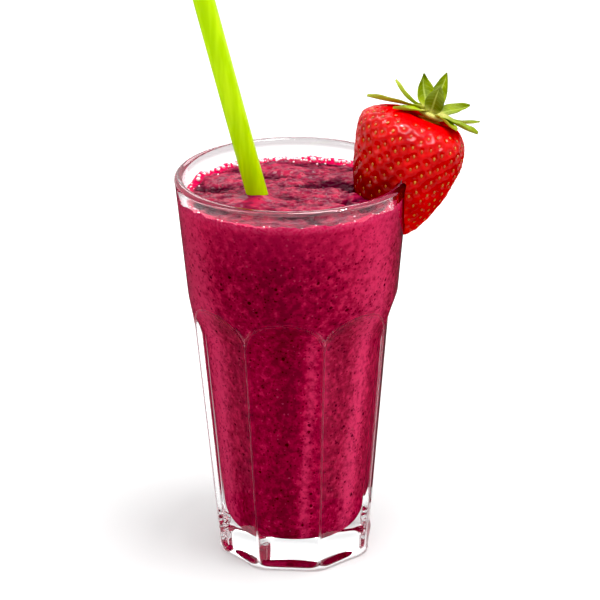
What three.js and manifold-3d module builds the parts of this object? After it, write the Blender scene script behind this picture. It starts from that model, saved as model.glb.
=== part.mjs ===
// Mixed berry smoothie in a tall fluted glass, with a drinking straw and a strawberry on the rim.
// Millimetres, +Z up. The origin is the middle of the underside of the glass.
// Azimuths are measured about +Z from the front (-Y) towards the right (+X).

import * as THREE from 'three';
import { mergeVertices } from 'three/addons/utils/BufferGeometryUtils.js';
import Module from 'manifold-3d';

const wasm = await Module();
wasm.setup();

const { Vector2, Vector3, Matrix4 } = THREE;
const { clamp, degToRad, lerp, smoothstep } = THREE.MathUtils;
const GOLDEN_ANGLE = Math.PI * (3 - Math.sqrt(5));

// Clearance between pieces that touch.
const GAP = 0.3;
// Facets round the glass, an even number to each flute, and round the drink.
const GLASS_STEPS = 64;
const DRINK_STEPS = 48;

// The glass: a round tapered body with eight hollow flutes that end in arches under a plain collar.
const GLASS_HEIGHT = 151.5;
const FOOT_RADIUS = 30.4;
const BODY_TAPER = 0.0895;
const FOOT_EDGE = 2.2;
const RIM_RADIUS = 44;
const RIM_THICKNESS = 3.3;
const BEAD_HEIGHT = 3.4;
const FLUTES = 8;
const FLUTE_TURN = degToRad(-5);
const ARCH_TOP = 105.7;
const ARCH_RUN = 13.2;
const FLUTE_HOLLOW = 0.7;
const RIB_SOFTNESS = 0.15;
// Near the foot the flutes run out and leave it almost round.
const FOOT_BAND = [0.2, 4.6];
const FOOT_FLUTE_SHARE = 0.45;

// The cavity: a narrow well beside the flutes that opens into the collar.
const FLOOR_HEIGHT = 9.5;
const FLOOR_ROUND = 9;
const WELL_RADIUS = 20.3;
const WELL_TAPER = 0.075;
const COLLAR_RADIUS = 35.6;
const COLLAR_TAPER = 0.121;
const COLLAR_HEIGHT = 108;
const SHOULDER = [86, 112];

// The drink, with the uneven top that pouring leaves.
const DRINK_LEVEL = 143.6;
const FOAM_RISE = 0.9;
const FOAM_WIDTH = 3;
// Swells: direction, wavelength and height of each wave on the surface.
const SWELLS = [
  { turn: degToRad(70), length: 19, height: 0.34 },
  { turn: degToRad(102), length: 11, height: 0.22 },
  { turn: degToRad(20), length: 27, height: 0.26 },
];
// Creases: middle, half-length along X, half-width and depth of each furrow.
const CREASES = [
  { x: -25, y: 7, halfLength: 8, halfWidth: 2.4, depth: 1.3 },
  { x: 11, y: 8, halfLength: 11, halfWidth: 2.8, depth: 1.5 },
];

// The straw, a plain slanted tube.
const STRAW_LENGTH = 220;
const STRAW_RADIUS = 4;
const STRAW_WALL = 0.9;
const STRAW_STEPS = 32;
const STRAW_LEAN = degToRad(13.7);
const STRAW_FOOT = new Vector3(15.1, -4.4, 30);

// The strawberry hangs on the rim by a slit. Its tip is outside the wall, and its middle line bends
// outwards. The section is a little square, the lower end is fuller on the side over the drink, and
// the crown is higher there and carries the leaves off centre.
const BERRY_TIP = new Vector3(42.6, 4, 125);
const BERRY_LENGTH = 48.1;
const BERRY_RADIUS = 20.7;
const BERRY_WIDEST = 0.727;
const BERRY_BEND = degToRad(10.3);
const BERRY_BACK_TILT = degToRad(8.6);
const BERRY_SQUARENESS = 2.68;
const TIP_FULLNESS = 2.7;
const FULL_SIDE = { azimuth: degToRad(-60), share: 0.7 };
const CROWN_SLANT = 0.222;
const CROWN_SHIFT = 5.6;
const CROWN_DIMPLE = 1.8;
// Above the lip the slit narrows to nothing and leans outwards.
const SLIT_RUN = 1.6;
const SLIT_LEAN = 0.6;
const SLIT_WIDTH = 0.9;
const BERRY_STEPS = 36;
const BERRY_RINGS = 24;

// Seeds stand a little proud of the flesh, on a spiral.
const SEED_COUNT = 160;
const SEED_LENGTH = 1.9;
const SEED_WIDTH = 1.2;
const SEED_PROUD = 0.35;
const SEED_CLEARANCE = 1.4;

// The leafy cap: a small hub and its sepals. Azimuth is about the berry's own axis.
const HUB_RADIUS = 5.2;
const HUB_THICKNESS = 1.3;
const HUB_FOOT = 0.8;
// The hub sits this much above the bottom of the crown's dimple.
const CAP_RISE = 1.5;
const SEPAL_THICKNESS = 0.7;
const SEPAL_ROWS = 6;
const SEPAL_COLUMNS = 4;
const SEPALS = [
  { azimuth: -93, length: 22.5, width: 6, rise: -3, curl: -6, twist: 20 },
  { azimuth: -112, length: 15.5, width: 5, rise: -1, curl: 20, twist: 40 },
  { azimuth: -130, length: 14.1, width: 8.2, rise: 51, curl: 4, twist: -30 },
  { azimuth: 177, length: 17, width: 6.6, rise: 60, curl: 0, twist: -24 },
  { azimuth: -18, length: 11.3, width: 7.4, rise: 68, curl: 6, twist: 6 },
  { azimuth: 128, length: 15.2, width: 6.4, rise: 29, curl: -4, twist: 18 },
  { azimuth: 121, length: 19, width: 3.8, rise: -8, curl: 14, twist: -10 },
  { azimuth: 57, length: 18, width: 6.8, rise: 4, curl: -2, twist: 8 },
  { azimuth: -57, length: 15.5, width: 5.4, rise: -5, curl: -4, twist: 8 },
  { azimuth: 34, length: 14, width: 5.6, rise: 1, curl: -4, twist: -6 },
];

const HALF_FLUTE = Math.PI / FLUTES;

/** The radius of the round body at a height, before the flutes are pressed in. */
function bodyRadius(z) {
  return FOOT_RADIUS + BODY_TAPER * z;
}

/** The smallest of some values, with the corner where two of them meet rounded. */
function softMin(values, softness) {
  const least = Math.min(...values);
  const sum = values.reduce((total, value) => total + Math.exp((least - value) / softness), 0);
  return least - softness * Math.log(sum);
}

/** The outside radius of the glass at an azimuth and a height below the rim bead. */
function outerRadius(azimuth, z) {
  const round = bodyRadius(z);
  const belowArch = Math.min((ARCH_TOP - z) / ARCH_RUN, 1);
  if (belowArch < -0.5) return round;
  const arch = belowArch * (2 - belowArch);
  const foot = lerp(FOOT_FLUTE_SHARE, 1, smoothstep(z, FOOT_BAND[0], FOOT_BAND[1]));
  const share = arch * foot;
  const flat = round * (1 - (1 - Math.cos(HALF_FLUTE)) * share);
  const flute = (offset) => {
    const across = Math.sin(offset) / Math.sin(HALF_FLUTE);
    return flat / Math.cos(offset) - FLUTE_HOLLOW * share * (1 - across * across);
  };
  const turns = (azimuth - FLUTE_TURN) / (2 * HALF_FLUTE);
  const offset = (turns - Math.round(turns)) * 2 * HALF_FLUTE;
  return softMin([round, flute(offset), flute(Math.abs(offset) - 2 * HALF_FLUTE)], RIB_SOFTNESS);
}

/** The inside radius of the glass at a height above its rounded floor. */
function cavityRadius(z) {
  const well = WELL_RADIUS + WELL_TAPER * (z - FLOOR_HEIGHT);
  const collar = COLLAR_RADIUS + COLLAR_TAPER * (z - COLLAR_HEIGHT);
  return lerp(well, collar, smoothstep(z, SHOULDER[0], SHOULDER[1]));
}

/** Points up the cavity from its floor, kept a clearance inside the wall. */
function cavityProfile(top, clearance) {
  const points = [new Vector2(0, FLOOR_HEIGHT + clearance)];
  const round = FLOOR_ROUND - clearance;
  const edge = cavityRadius(FLOOR_HEIGHT + FLOOR_ROUND) - FLOOR_ROUND;
  for (let i = 0; i <= 3; i += 1) {
    const a = (i / 3) * (Math.PI / 2);
    points.push(new Vector2(edge + round * Math.sin(a), FLOOR_HEIGHT + FLOOR_ROUND - round * Math.cos(a)));
  }
  const [low, high] = SHOULDER;
  const shoulder = [0, 0.3, 0.5, 0.7, 1].map((share) => lerp(low, high, share));
  const heights = [(FLOOR_HEIGHT + low) / 2, ...shoulder, top];
  heights.forEach((z) => points.push(new Vector2(cavityRadius(z) - clearance, z)));
  return points;
}

/** The lip: from the outside of the wall over the rounded top to the inside, a clearance away from the glass. */
function lipProfile(clearance) {
  const beadLow = GLASS_HEIGHT - BEAD_HEIGHT;
  const middle = RIM_RADIUS - RIM_THICKNESS / 2;
  const half = RIM_THICKNESS / 2 + clearance;
  const springing = GLASS_HEIGHT - RIM_THICKNESS / 2;
  const points = [new Vector2(bodyRadius(beadLow) + clearance, beadLow)];
  for (let i = 0; i <= 6; i += 1) {
    const a = (i / 6) * Math.PI;
    points.push(new Vector2(middle + half * Math.cos(a), springing + half * Math.sin(a)));
  }
  return points;
}

/** A lathe-turned geometry about +Z from a profile of radius and height. */
function turned(profile, steps) {
  return new THREE.LatheGeometry(profile, steps).rotateX(Math.PI / 2);
}

/** Moves every vertex of a geometry by a rule that gets its place and its number. */
function moveVertices(geometry, rule) {
  const position = geometry.getAttribute('position');
  const point = new Vector3();
  for (let i = 0; i < position.count; i += 1) {
    rule(point.fromBufferAttribute(position, i), i);
    position.setXYZ(i, point.x, point.y, point.z);
  }
  return geometry;
}

/** A closed geometry as a solid that can be cut and joined. */
function solid(geometry) {
  const bare = geometry.clone();
  bare.deleteAttribute('normal');
  bare.deleteAttribute('uv');
  const merged = mergeVertices(bare);
  const corners = Array.from(merged.index.array);
  const triVerts = [];
  for (let i = 0; i < corners.length; i += 3) {
    const [a, b, c] = corners.slice(i, i + 3);
    if (a !== b && b !== c && c !== a) triVerts.push(a, b, c);
  }
  return new wasm.Manifold(new wasm.Mesh({
    numProp: 3,
    vertProperties: new Float32Array(merged.getAttribute('position').array),
    triVerts: new Uint32Array(triVerts),
  }));
}

/** A named mesh from a solid. Where a cut leaves scraps, only the largest piece is kept. */
function piece(name, body, material) {
  const largest = body.decompose().sort((a, b) => b.volume() - a.volume())[0];
  const { vertProperties, triVerts } = largest.getMesh();
  const geometry = new THREE.BufferGeometry();
  geometry.setAttribute('position', new THREE.BufferAttribute(new Float32Array(vertProperties), 3));
  geometry.setIndex(new THREE.BufferAttribute(new Uint32Array(triVerts), 1));
  geometry.computeVertexNormals();
  const mesh = new THREE.Mesh(geometry, material);
  mesh.name = name;
  return mesh;
}

function buildGlass() {
  const outside = [new Vector2(0, 0)];
  for (let i = 0; i <= 2; i += 1) {
    const a = (i / 2) * (Math.PI / 2);
    const z = FOOT_EDGE * (1 - Math.cos(a));
    outside.push(new Vector2(bodyRadius(z) - FOOT_EDGE * (1 - Math.sin(a)), z));
  }
  const archFoot = ARCH_TOP - ARCH_RUN;
  const heights = [4, FOOT_BAND[1], 35, 64, archFoot];
  [0.25, 0.48, 0.68, 0.84, 0.94, 1.02].forEach((share) => heights.push(archFoot + share * ARCH_RUN));
  heights.push(128);
  heights.forEach((z) => outside.push(new Vector2(bodyRadius(z), z)));
  const lip = lipProfile(0);
  const inside = cavityProfile(GLASS_HEIGHT - BEAD_HEIGHT, 0).reverse();
  const profile = [...outside, ...lip, ...inside];
  const geometry = new THREE.LatheGeometry(profile, GLASS_STEPS, FLUTE_TURN).rotateX(Math.PI / 2);
  moveVertices(geometry, (point, index) => {
    if (index % profile.length >= outside.length) return;
    const share = outerRadius(Math.atan2(point.x, -point.y), point.z) / bodyRadius(point.z);
    point.x *= share;
    point.y *= share;
  });
  return solid(geometry);
}

/** The height of the drink's surface above its mean level at a place. */
function surfaceRelief(x, y) {
  const radius = Math.hypot(x, y);
  const foam = FOAM_RISE * smoothstep(radius, cavityRadius(DRINK_LEVEL) - FOAM_WIDTH, cavityRadius(DRINK_LEVEL));
  const swell = SWELLS.reduce((sum, { turn, length, height }) => {
    const along = x * Math.cos(turn) + y * Math.sin(turn);
    return sum + height * Math.sin((2 * Math.PI * along) / length);
  }, 0);
  const crease = CREASES.reduce((sum, { x: cx, y: cy, halfLength, halfWidth, depth }) => {
    const bow = 1.6 * Math.sin((x - cx) / 4);
    const spread = ((x - cx) / halfLength) ** 2 + ((y - cy - bow) / halfWidth) ** 2;
    return sum + depth * Math.exp(-spread);
  }, 0);
  return foam + swell - crease;
}

function buildDrink(strawCut, berryCut) {
  const sides = cavityProfile(DRINK_LEVEL, GAP);
  const edge = sides[sides.length - 1].x;
  const rings = [0.96, 0.9, 0.82, 0.73, 0.63, 0.53, 0.43, 0.33, 0.23, 0.13, 0.05];
  const top = rings.map((share) => new Vector2(edge * share, DRINK_LEVEL));
  const profile = [...sides, ...top, new Vector2(0, DRINK_LEVEL)];
  const geometry = turned(profile, DRINK_STEPS);
  moveVertices(geometry, (point, index) => {
    if (index % profile.length < sides.length - 1) return;
    point.z += surfaceRelief(point.x, point.y);
  });
  return solid(geometry).subtract(strawCut).subtract(berryCut);
}

/** The tube of the straw along its own +Z, grown by a clearance all round. */
function strawTube(clearance) {
  const inner = STRAW_RADIUS - STRAW_WALL - clearance;
  const outer = STRAW_RADIUS + clearance;
  const profile = [
    new Vector2(inner, -clearance),
    new Vector2(outer, -clearance),
    new Vector2(outer, STRAW_LENGTH + clearance),
    new Vector2(inner, STRAW_LENGTH + clearance),
    new Vector2(inner, -clearance),
  ];
  return turned(profile, STRAW_STEPS);
}

/** The berry's radius at an azimuth and a share of its length from the tip. */
function berryRadius(azimuth, share) {
  const square = Math.abs(Math.cos(azimuth)) ** BERRY_SQUARENESS + Math.abs(Math.sin(azimuth)) ** BERRY_SQUARENESS;
  const widest = BERRY_RADIUS * square ** (-1 / BERRY_SQUARENESS);
  if (share < BERRY_WIDEST) {
    const fullness = TIP_FULLNESS * (1 + FULL_SIDE.share * Math.cos(azimuth - FULL_SIDE.azimuth));
    const tip = (1 - share / BERRY_WIDEST) ** fullness;
    return widest * (1 - tip) ** 0.8;
  }
  const shoulder = ((share - BERRY_WIDEST) / (1 - BERRY_WIDEST)) ** 2.6;
  return widest * Math.sqrt(Math.max(1 - shoulder, 0));
}

/** Bends a point of the straight berry along its curved middle line, in the berry's frame. */
function bendBerry(point) {
  const angle = (BERRY_BEND * point.z) / BERRY_LENGTH;
  const reach = BERRY_LENGTH / BERRY_BEND;
  const fromCentre = reach - point.x;
  return point.set(reach - fromCentre * Math.cos(angle), point.y, fromCentre * Math.sin(angle));
}

/** Uneven growth: the share by which the flesh stands out at an azimuth and a height. */
function berryLumps(azimuth, share) {
  const ribs = 0.018 * Math.sin(3 * azimuth + 1.1) + 0.012 * Math.sin(5 * azimuth + 4 * share);
  return 1 + ribs * Math.sin(Math.PI * clamp(share, 0, 1));
}

/** A point on the berry's flesh in its own frame, at an azimuth and a share of its length. */
function berryPoint(azimuth, share, clearance = 0) {
  const radius = berryRadius(azimuth, share) * berryLumps(azimuth, share) + clearance;
  const crown = Math.max((share - BERRY_WIDEST) / (1 - BERRY_WIDEST), 0);
  const x = radius * Math.sin(azimuth) + CROWN_SHIFT * crown * crown;
  const slant = CROWN_SLANT * x * Math.min(share / BERRY_WIDEST, 1) ** 2;
  const dimple = CROWN_DIMPLE * smoothstep(share, 0.97, 1);
  return bendBerry(new Vector3(x, -radius * Math.cos(azimuth), share * BERRY_LENGTH - slant - dimple));
}

/** The whole berry before its slit is cut, grown by a clearance. */
function berryFlesh(clearance) {
  const profile = [];
  for (let i = 0; i <= BERRY_RINGS; i += 1) {
    profile.push(new Vector2(i === 0 || i === BERRY_RINGS ? 0 : 1, i));
  }
  const geometry = turned(profile, BERRY_STEPS);
  return moveVertices(geometry, (point) => {
    const ring = Math.round(point.z) / BERRY_RINGS;
    const share = 0.5 - 0.5 * Math.cos(Math.PI * ring);
    const pole = ring === 0 || ring === 1;
    const flesh = berryPoint(Math.atan2(point.x, -point.y), share, pole ? 0 : clearance);
    if (pole) flesh.z += ring === 0 ? -clearance : clearance;
    point.copy(flesh);
  });
}

/** The places on the flesh where seeds sit, with the direction that each one faces. */
function seedPlaces() {
  const places = [];
  for (let i = 0; i < SEED_COUNT; i += 1) {
    const share = lerp(0.03, 0.93, (i + 0.5) / SEED_COUNT) ** 0.92;
    const azimuth = i * GOLDEN_ANGLE;
    const at = berryPoint(azimuth, share);
    const across = berryPoint(azimuth + 0.05, share).sub(at);
    const along = berryPoint(azimuth, share + 0.01).sub(at);
    const out = across.clone().cross(along).normalize();
    places.push({ at, out, along: along.normalize() });
  }
  return places;
}

/** True where a seed in the world stays clear of the glass wall and of the drink. */
function seedIsClear(place) {
  const radius = Math.hypot(place.x, place.y);
  if (place.z > GLASS_HEIGHT + SEED_CLEARANCE) return true;
  if (radius > Math.max(bodyRadius(place.z), RIM_RADIUS) + SEED_CLEARANCE) return true;
  const insideWall = radius < cavityRadius(place.z) - SEED_CLEARANCE;
  return insideWall && place.z > DRINK_LEVEL + FOAM_RISE + SEED_CLEARANCE;
}

/** The slit's section: the wall and a gap all round it, with a narrow cut that runs on above the lip. */
function slitProfile() {
  const lip = lipProfile(GAP);
  const crest = lip.findIndex(({ y }) => y >= GLASS_HEIGHT + GAP - 0.001);
  const { x, y } = lip[crest];
  lip.splice(
    crest,
    1,
    new Vector2(x + SLIT_WIDTH / 2, y - GAP / 2),
    new Vector2(x + SLIT_LEAN, y + SLIT_RUN),
    new Vector2(x - SLIT_WIDTH / 2, y - GAP / 2),
  );
  const low = BERRY_TIP.z - 10;
  const below = [
    new Vector2(cavityRadius(GLASS_HEIGHT - BEAD_HEIGHT) - GAP, GLASS_HEIGHT - BEAD_HEIGHT),
    new Vector2(cavityRadius(low) - GAP, low),
    new Vector2(bodyRadius(low) + GAP, low),
  ];
  return [...lip, ...below, lip[0].clone()];
}

function buildBerry(toWorld) {
  const slit = turned(slitProfile(), GLASS_STEPS).applyMatrix4(toWorld.clone().invert());
  const flesh = solid(berryFlesh(0)).subtract(solid(slit));
  const seeds = seedPlaces()
    .filter(({ at }) => seedIsClear(at.clone().applyMatrix4(toWorld)))
    .map(({ at, out, along }) => {
      const seed = new THREE.OctahedronGeometry(0.5);
      seed.scale(SEED_WIDTH, SEED_LENGTH, SEED_WIDTH);
      const side = along.clone().cross(out).normalize();
      const turn = new Matrix4().makeBasis(side, along, out);
      const centre = at.clone().addScaledVector(out, SEED_PROUD - SEED_WIDTH / 2);
      return solid(seed.applyMatrix4(turn.setPosition(centre)));
    });
  return wasm.Manifold.union([flesh, ...seeds]);
}

/** One sepal: a thin wavy blade along +X from the hub, its two faces split alike. */
function sepalBlade({ length, width, curl, twist }) {
  const positions = [];
  const rowLength = SEPAL_COLUMNS + 1;
  const faceSize = (SEPAL_ROWS + 1) * rowLength;
  for (const side of [0.5, -0.5]) {
    for (let row = 0; row <= SEPAL_ROWS; row += 1) {
      const along = row / SEPAL_ROWS;
      const half = (width / 2) * Math.max(Math.sin(Math.PI * lerp(0.16, 0.985, along ** 0.85)), 0.06);
      const turn = degToRad(twist) * lerp(0.5, 1, along);
      const lift = length * Math.tan(degToRad(curl)) * along * along;
      for (let column = 0; column <= SEPAL_COLUMNS; column += 1) {
        const across = (2 * column) / SEPAL_COLUMNS - 1;
        const cup = 0.16 * width * across * across;
        const ripple = 0.25 * Math.sin(7 * along + 2 * across);
        const thickness = side * SEPAL_THICKNESS * lerp(1, 0.55, along);
        const y = half * across;
        const z = cup + ripple + thickness;
        positions.push(length * along, y * Math.cos(turn) - z * Math.sin(turn));
        positions.push(lift + y * Math.sin(turn) + z * Math.cos(turn));
      }
    }
  }
  const index = [];
  const quad = (a, b, c, d) => index.push(a, b, c, a, c, d);
  for (let row = 0; row < SEPAL_ROWS; row += 1) {
    for (let column = 0; column < SEPAL_COLUMNS; column += 1) {
      const a = row * rowLength + column;
      index.push(a, a + rowLength, a + rowLength + 1, a, a + rowLength + 1, a + 1);
      const b = a + faceSize;
      index.push(b, b + rowLength + 1, b + rowLength, b, b + 1, b + rowLength + 1);
    }
    const near = row * rowLength;
    const far = near + SEPAL_COLUMNS;
    quad(near, near + faceSize, near + rowLength + faceSize, near + rowLength);
    quad(far, far + rowLength, far + rowLength + faceSize, far + faceSize);
  }
  const last = SEPAL_ROWS * rowLength;
  for (let column = 0; column < SEPAL_COLUMNS; column += 1) {
    quad(column, column + 1, column + 1 + faceSize, column + faceSize);
    quad(last + column + 1, last + column, last + column + faceSize, last + column + 1 + faceSize);
  }
  const geometry = new THREE.BufferGeometry();
  geometry.setAttribute('position', new THREE.Float32BufferAttribute(positions, 3));
  return geometry.setIndex(index);
}

/** The cap in its own frame: the hub's widest edge is round the origin and its axis is +Z. */
function buildCap() {
  const hub = turned([
    new Vector2(0, -HUB_FOOT),
    new Vector2(HUB_RADIUS * 0.8, -HUB_FOOT),
    new Vector2(HUB_RADIUS, 0),
    new Vector2(HUB_RADIUS * 0.8, HUB_THICKNESS),
    new Vector2(0, HUB_THICKNESS),
  ], 20);
  const blades = SEPALS.map((sepal) => {
    const blade = sepalBlade(sepal);
    blade.rotateY(-degToRad(sepal.rise));
    blade.translate(HUB_RADIUS * 0.55, 0, HUB_THICKNESS * 0.6);
    blade.rotateZ(degToRad(sepal.azimuth - 90));
    return solid(blade);
  });
  return wasm.Manifold.union([solid(hub), ...blades]);
}

const clearGlass = new THREE.MeshStandardMaterial({
  color: '#e9efee', roughness: 0.03, metalness: 0, transparent: true, opacity: 0.35,
});
const berryDrink = new THREE.MeshStandardMaterial({ color: '#96103a', roughness: 0.45, metalness: 0 });
const limePlastic = new THREE.MeshStandardMaterial({ color: '#b8e200', roughness: 0.35, metalness: 0 });
const strawberryRed = new THREE.MeshStandardMaterial({ color: '#c4140f', roughness: 0.35, metalness: 0 });
const leafGreen = new THREE.MeshStandardMaterial({ color: '#7fa02a', roughness: 0.6, metalness: 0 });

const strawGroup = new THREE.Group();
strawGroup.position.copy(STRAW_FOOT);
strawGroup.rotation.y = -STRAW_LEAN;
strawGroup.updateMatrixWorld(true);
strawGroup.add(piece('straw', solid(strawTube(0)), limePlastic));

const berryGroup = new THREE.Group();
berryGroup.position.copy(BERRY_TIP);
berryGroup.rotation.x = -BERRY_BACK_TILT;
berryGroup.updateMatrixWorld(true);
berryGroup.add(piece('strawberry', buildBerry(berryGroup.matrixWorld), strawberryRed));

const capGroup = new THREE.Group();
const capAt = berryPoint(0, 1);
capGroup.rotation.y = BERRY_BEND + Math.atan(CROWN_SLANT);
capGroup.position.copy(capAt).add(new Vector3(0, 0, GAP + CAP_RISE).applyEuler(capGroup.rotation));
capGroup.add(piece('strawberry_cap', buildCap(), leafGreen));
berryGroup.add(capGroup);

const strawCut = solid(strawTube(GAP).applyMatrix4(strawGroup.matrixWorld));
const berryCut = solid(berryFlesh(GAP + 0.1).applyMatrix4(berryGroup.matrixWorld));

const smoothieGlass = new THREE.Group();
smoothieGlass.add(piece('glass', buildGlass(), clearGlass));
smoothieGlass.add(piece('smoothie', buildDrink(strawCut, berryCut), berryDrink));
smoothieGlass.add(strawGroup);
smoothieGlass.add(berryGroup);

export default smoothieGlass;
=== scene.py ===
"""Looks of a mixed berry smoothie in a tall fluted glass, with a straw and a strawberry on the rim.

Sizes are in millimetres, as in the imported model, and turn into metres when a mesh is made. Azimuths run
about +Z from the front (-Y) towards the right (+X).
"""

import logging
import math
from collections.abc import Callable, Sequence
from dataclasses import dataclass, field
from enum import Enum

import bpy
import numpy as np
from mathutils import Matrix, Vector, kdtree, noise


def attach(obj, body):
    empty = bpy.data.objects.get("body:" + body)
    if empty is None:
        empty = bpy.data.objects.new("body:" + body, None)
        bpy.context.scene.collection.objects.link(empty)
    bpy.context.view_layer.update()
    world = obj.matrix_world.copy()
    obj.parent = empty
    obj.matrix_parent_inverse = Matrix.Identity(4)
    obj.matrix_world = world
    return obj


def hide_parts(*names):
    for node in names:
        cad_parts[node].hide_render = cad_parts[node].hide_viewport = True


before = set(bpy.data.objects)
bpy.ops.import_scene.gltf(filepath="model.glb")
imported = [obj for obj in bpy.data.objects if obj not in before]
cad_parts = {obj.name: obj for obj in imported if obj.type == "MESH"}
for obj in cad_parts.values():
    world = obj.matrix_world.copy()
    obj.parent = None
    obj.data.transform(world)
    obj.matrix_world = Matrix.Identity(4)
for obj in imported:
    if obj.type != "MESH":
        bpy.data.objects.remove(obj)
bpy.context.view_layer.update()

LOG = logging.getLogger("smoothie")
BODY = "root"
MM = 0.001
GOLDEN_ANGLE = math.pi * (3 - math.sqrt(5))
RANDOM_SEED = 7
TINY = 1e-12

Colour = tuple[float, float, float]
Place = tuple[float, float, float]
Range = tuple[float, float]
Number = float | np.ndarray

WHITE: Colour = (1.0, 1.0, 1.0)


class Slot(Enum):
    """The record's material slots."""

    GLASS = "clear_glass"
    DRINK = "berry_drink"
    STRAW = "lime_plastic"
    FLESH = "strawberry_flesh"
    LEAF = "leaf_green"


class Shape(Enum):
    """How a loft's rings close."""

    CAPPED = "capped"
    LOOP = "loop"


def smoothstep(x: Number, low: float, high: float) -> Number:
    """A smooth rise from 0 at low to 1 at high, at x. High may be less than low, for a fall."""
    t = np.clip((x - low) / (high - low), 0, 1)
    return t * t * (3 - 2 * t)


def lerp(a: Number, b: Number, share: Number) -> Number:
    """The value a share of the way from a to b."""
    return a + (b - a) * share


def hill(x: Number, width: float) -> Number:
    """A round hill that is 1 at 0 and falls off within a few widths."""
    return np.exp(-(x / width) ** 2)


def stepped(start: float, *stretches: tuple[float, int]) -> np.ndarray:
    """Numbers in even steps through several stretches.

    Args:
        start: The first number.
        *stretches: Where each stretch ends, and how many numbers it has with both its ends.

    Returns:
        All the numbers, with each end once.
    """
    numbers = [np.array([start])]
    for end, count in stretches:
        numbers.append(np.linspace(start, end, count)[1:])
        start = end
    return np.concatenate(numbers)


def placed(points: np.ndarray, matrix: Matrix) -> np.ndarray:
    """Points moved by a matrix, in an array whose last axis has three numbers."""
    m = np.array(matrix)
    return points @ m[:3, :3].T + m[:3, 3]


def azimuths(count: int, start: float = 0.0) -> np.ndarray:
    """Evenly spaced azimuths for a full turn."""
    return start + np.arange(count) / count * 2 * math.pi


def ring(angles: Number, radius: Number, z: Number) -> np.ndarray:
    """A ring of points about the glass's axis.

    Args:
        angles: Azimuths of the points.
        radius: The radius, or one for each point.
        z: The height, or one for each point.

    Returns:
        An array with a row for each point.
    """
    x = radius * np.sin(angles)
    y = -radius * np.cos(angles)
    return np.stack([x, y, np.broadcast_to(z, np.shape(x))], -1)


def lathe(angles: np.ndarray, profile: Sequence[tuple[Number, float]]) -> list[np.ndarray]:
    """The rings of points that a profile of radius and height gives."""
    return [ring(angles, radius, z) for radius, z in profile]


@dataclass(frozen=True)
class Lumps:
    """Smooth lumps on a surface: their width, height, finer layers and the shift of their pattern."""

    width: float
    height: float
    layers: int
    shift: float
    fall: float = 0.6
    ratio: float = 2.0

    def height_at(self, points: np.ndarray) -> np.ndarray:
        """The height of the lumps.

        Args:
            points: An array whose last axis has three numbers, in millimetres.

        Returns:
            A height for each point.
        """
        rows = points.reshape(-1, 3) / self.width + self.shift
        values = [noise.fractal(Vector(row), self.fall, self.ratio, self.layers) for row in rows]
        return self.height * np.array(values).reshape(points.shape[:-1])


def add_object(name: str, data: bpy.types.ID) -> bpy.types.Object:
    """Adds an object to the scene.

    Args:
        name: The object's name.
        data: Its mesh, light or camera.

    Returns:
        The object.
    """
    added = bpy.data.objects.new(name, data)
    bpy.context.scene.collection.objects.link(added)
    return added


def add_mesh(name: str, vertices: Sequence[Place], faces: Sequence[Sequence[int]]) -> bpy.types.Object:
    """Adds an object with a new mesh.

    Args:
        name: The name of both.
        vertices: Its points, in metres.
        faces: The numbers of each face's points.

    Returns:
        The object.
    """
    mesh = bpy.data.meshes.new(name)
    mesh.from_pydata(vertices, [], faces)
    return add_object(name, mesh)


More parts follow.
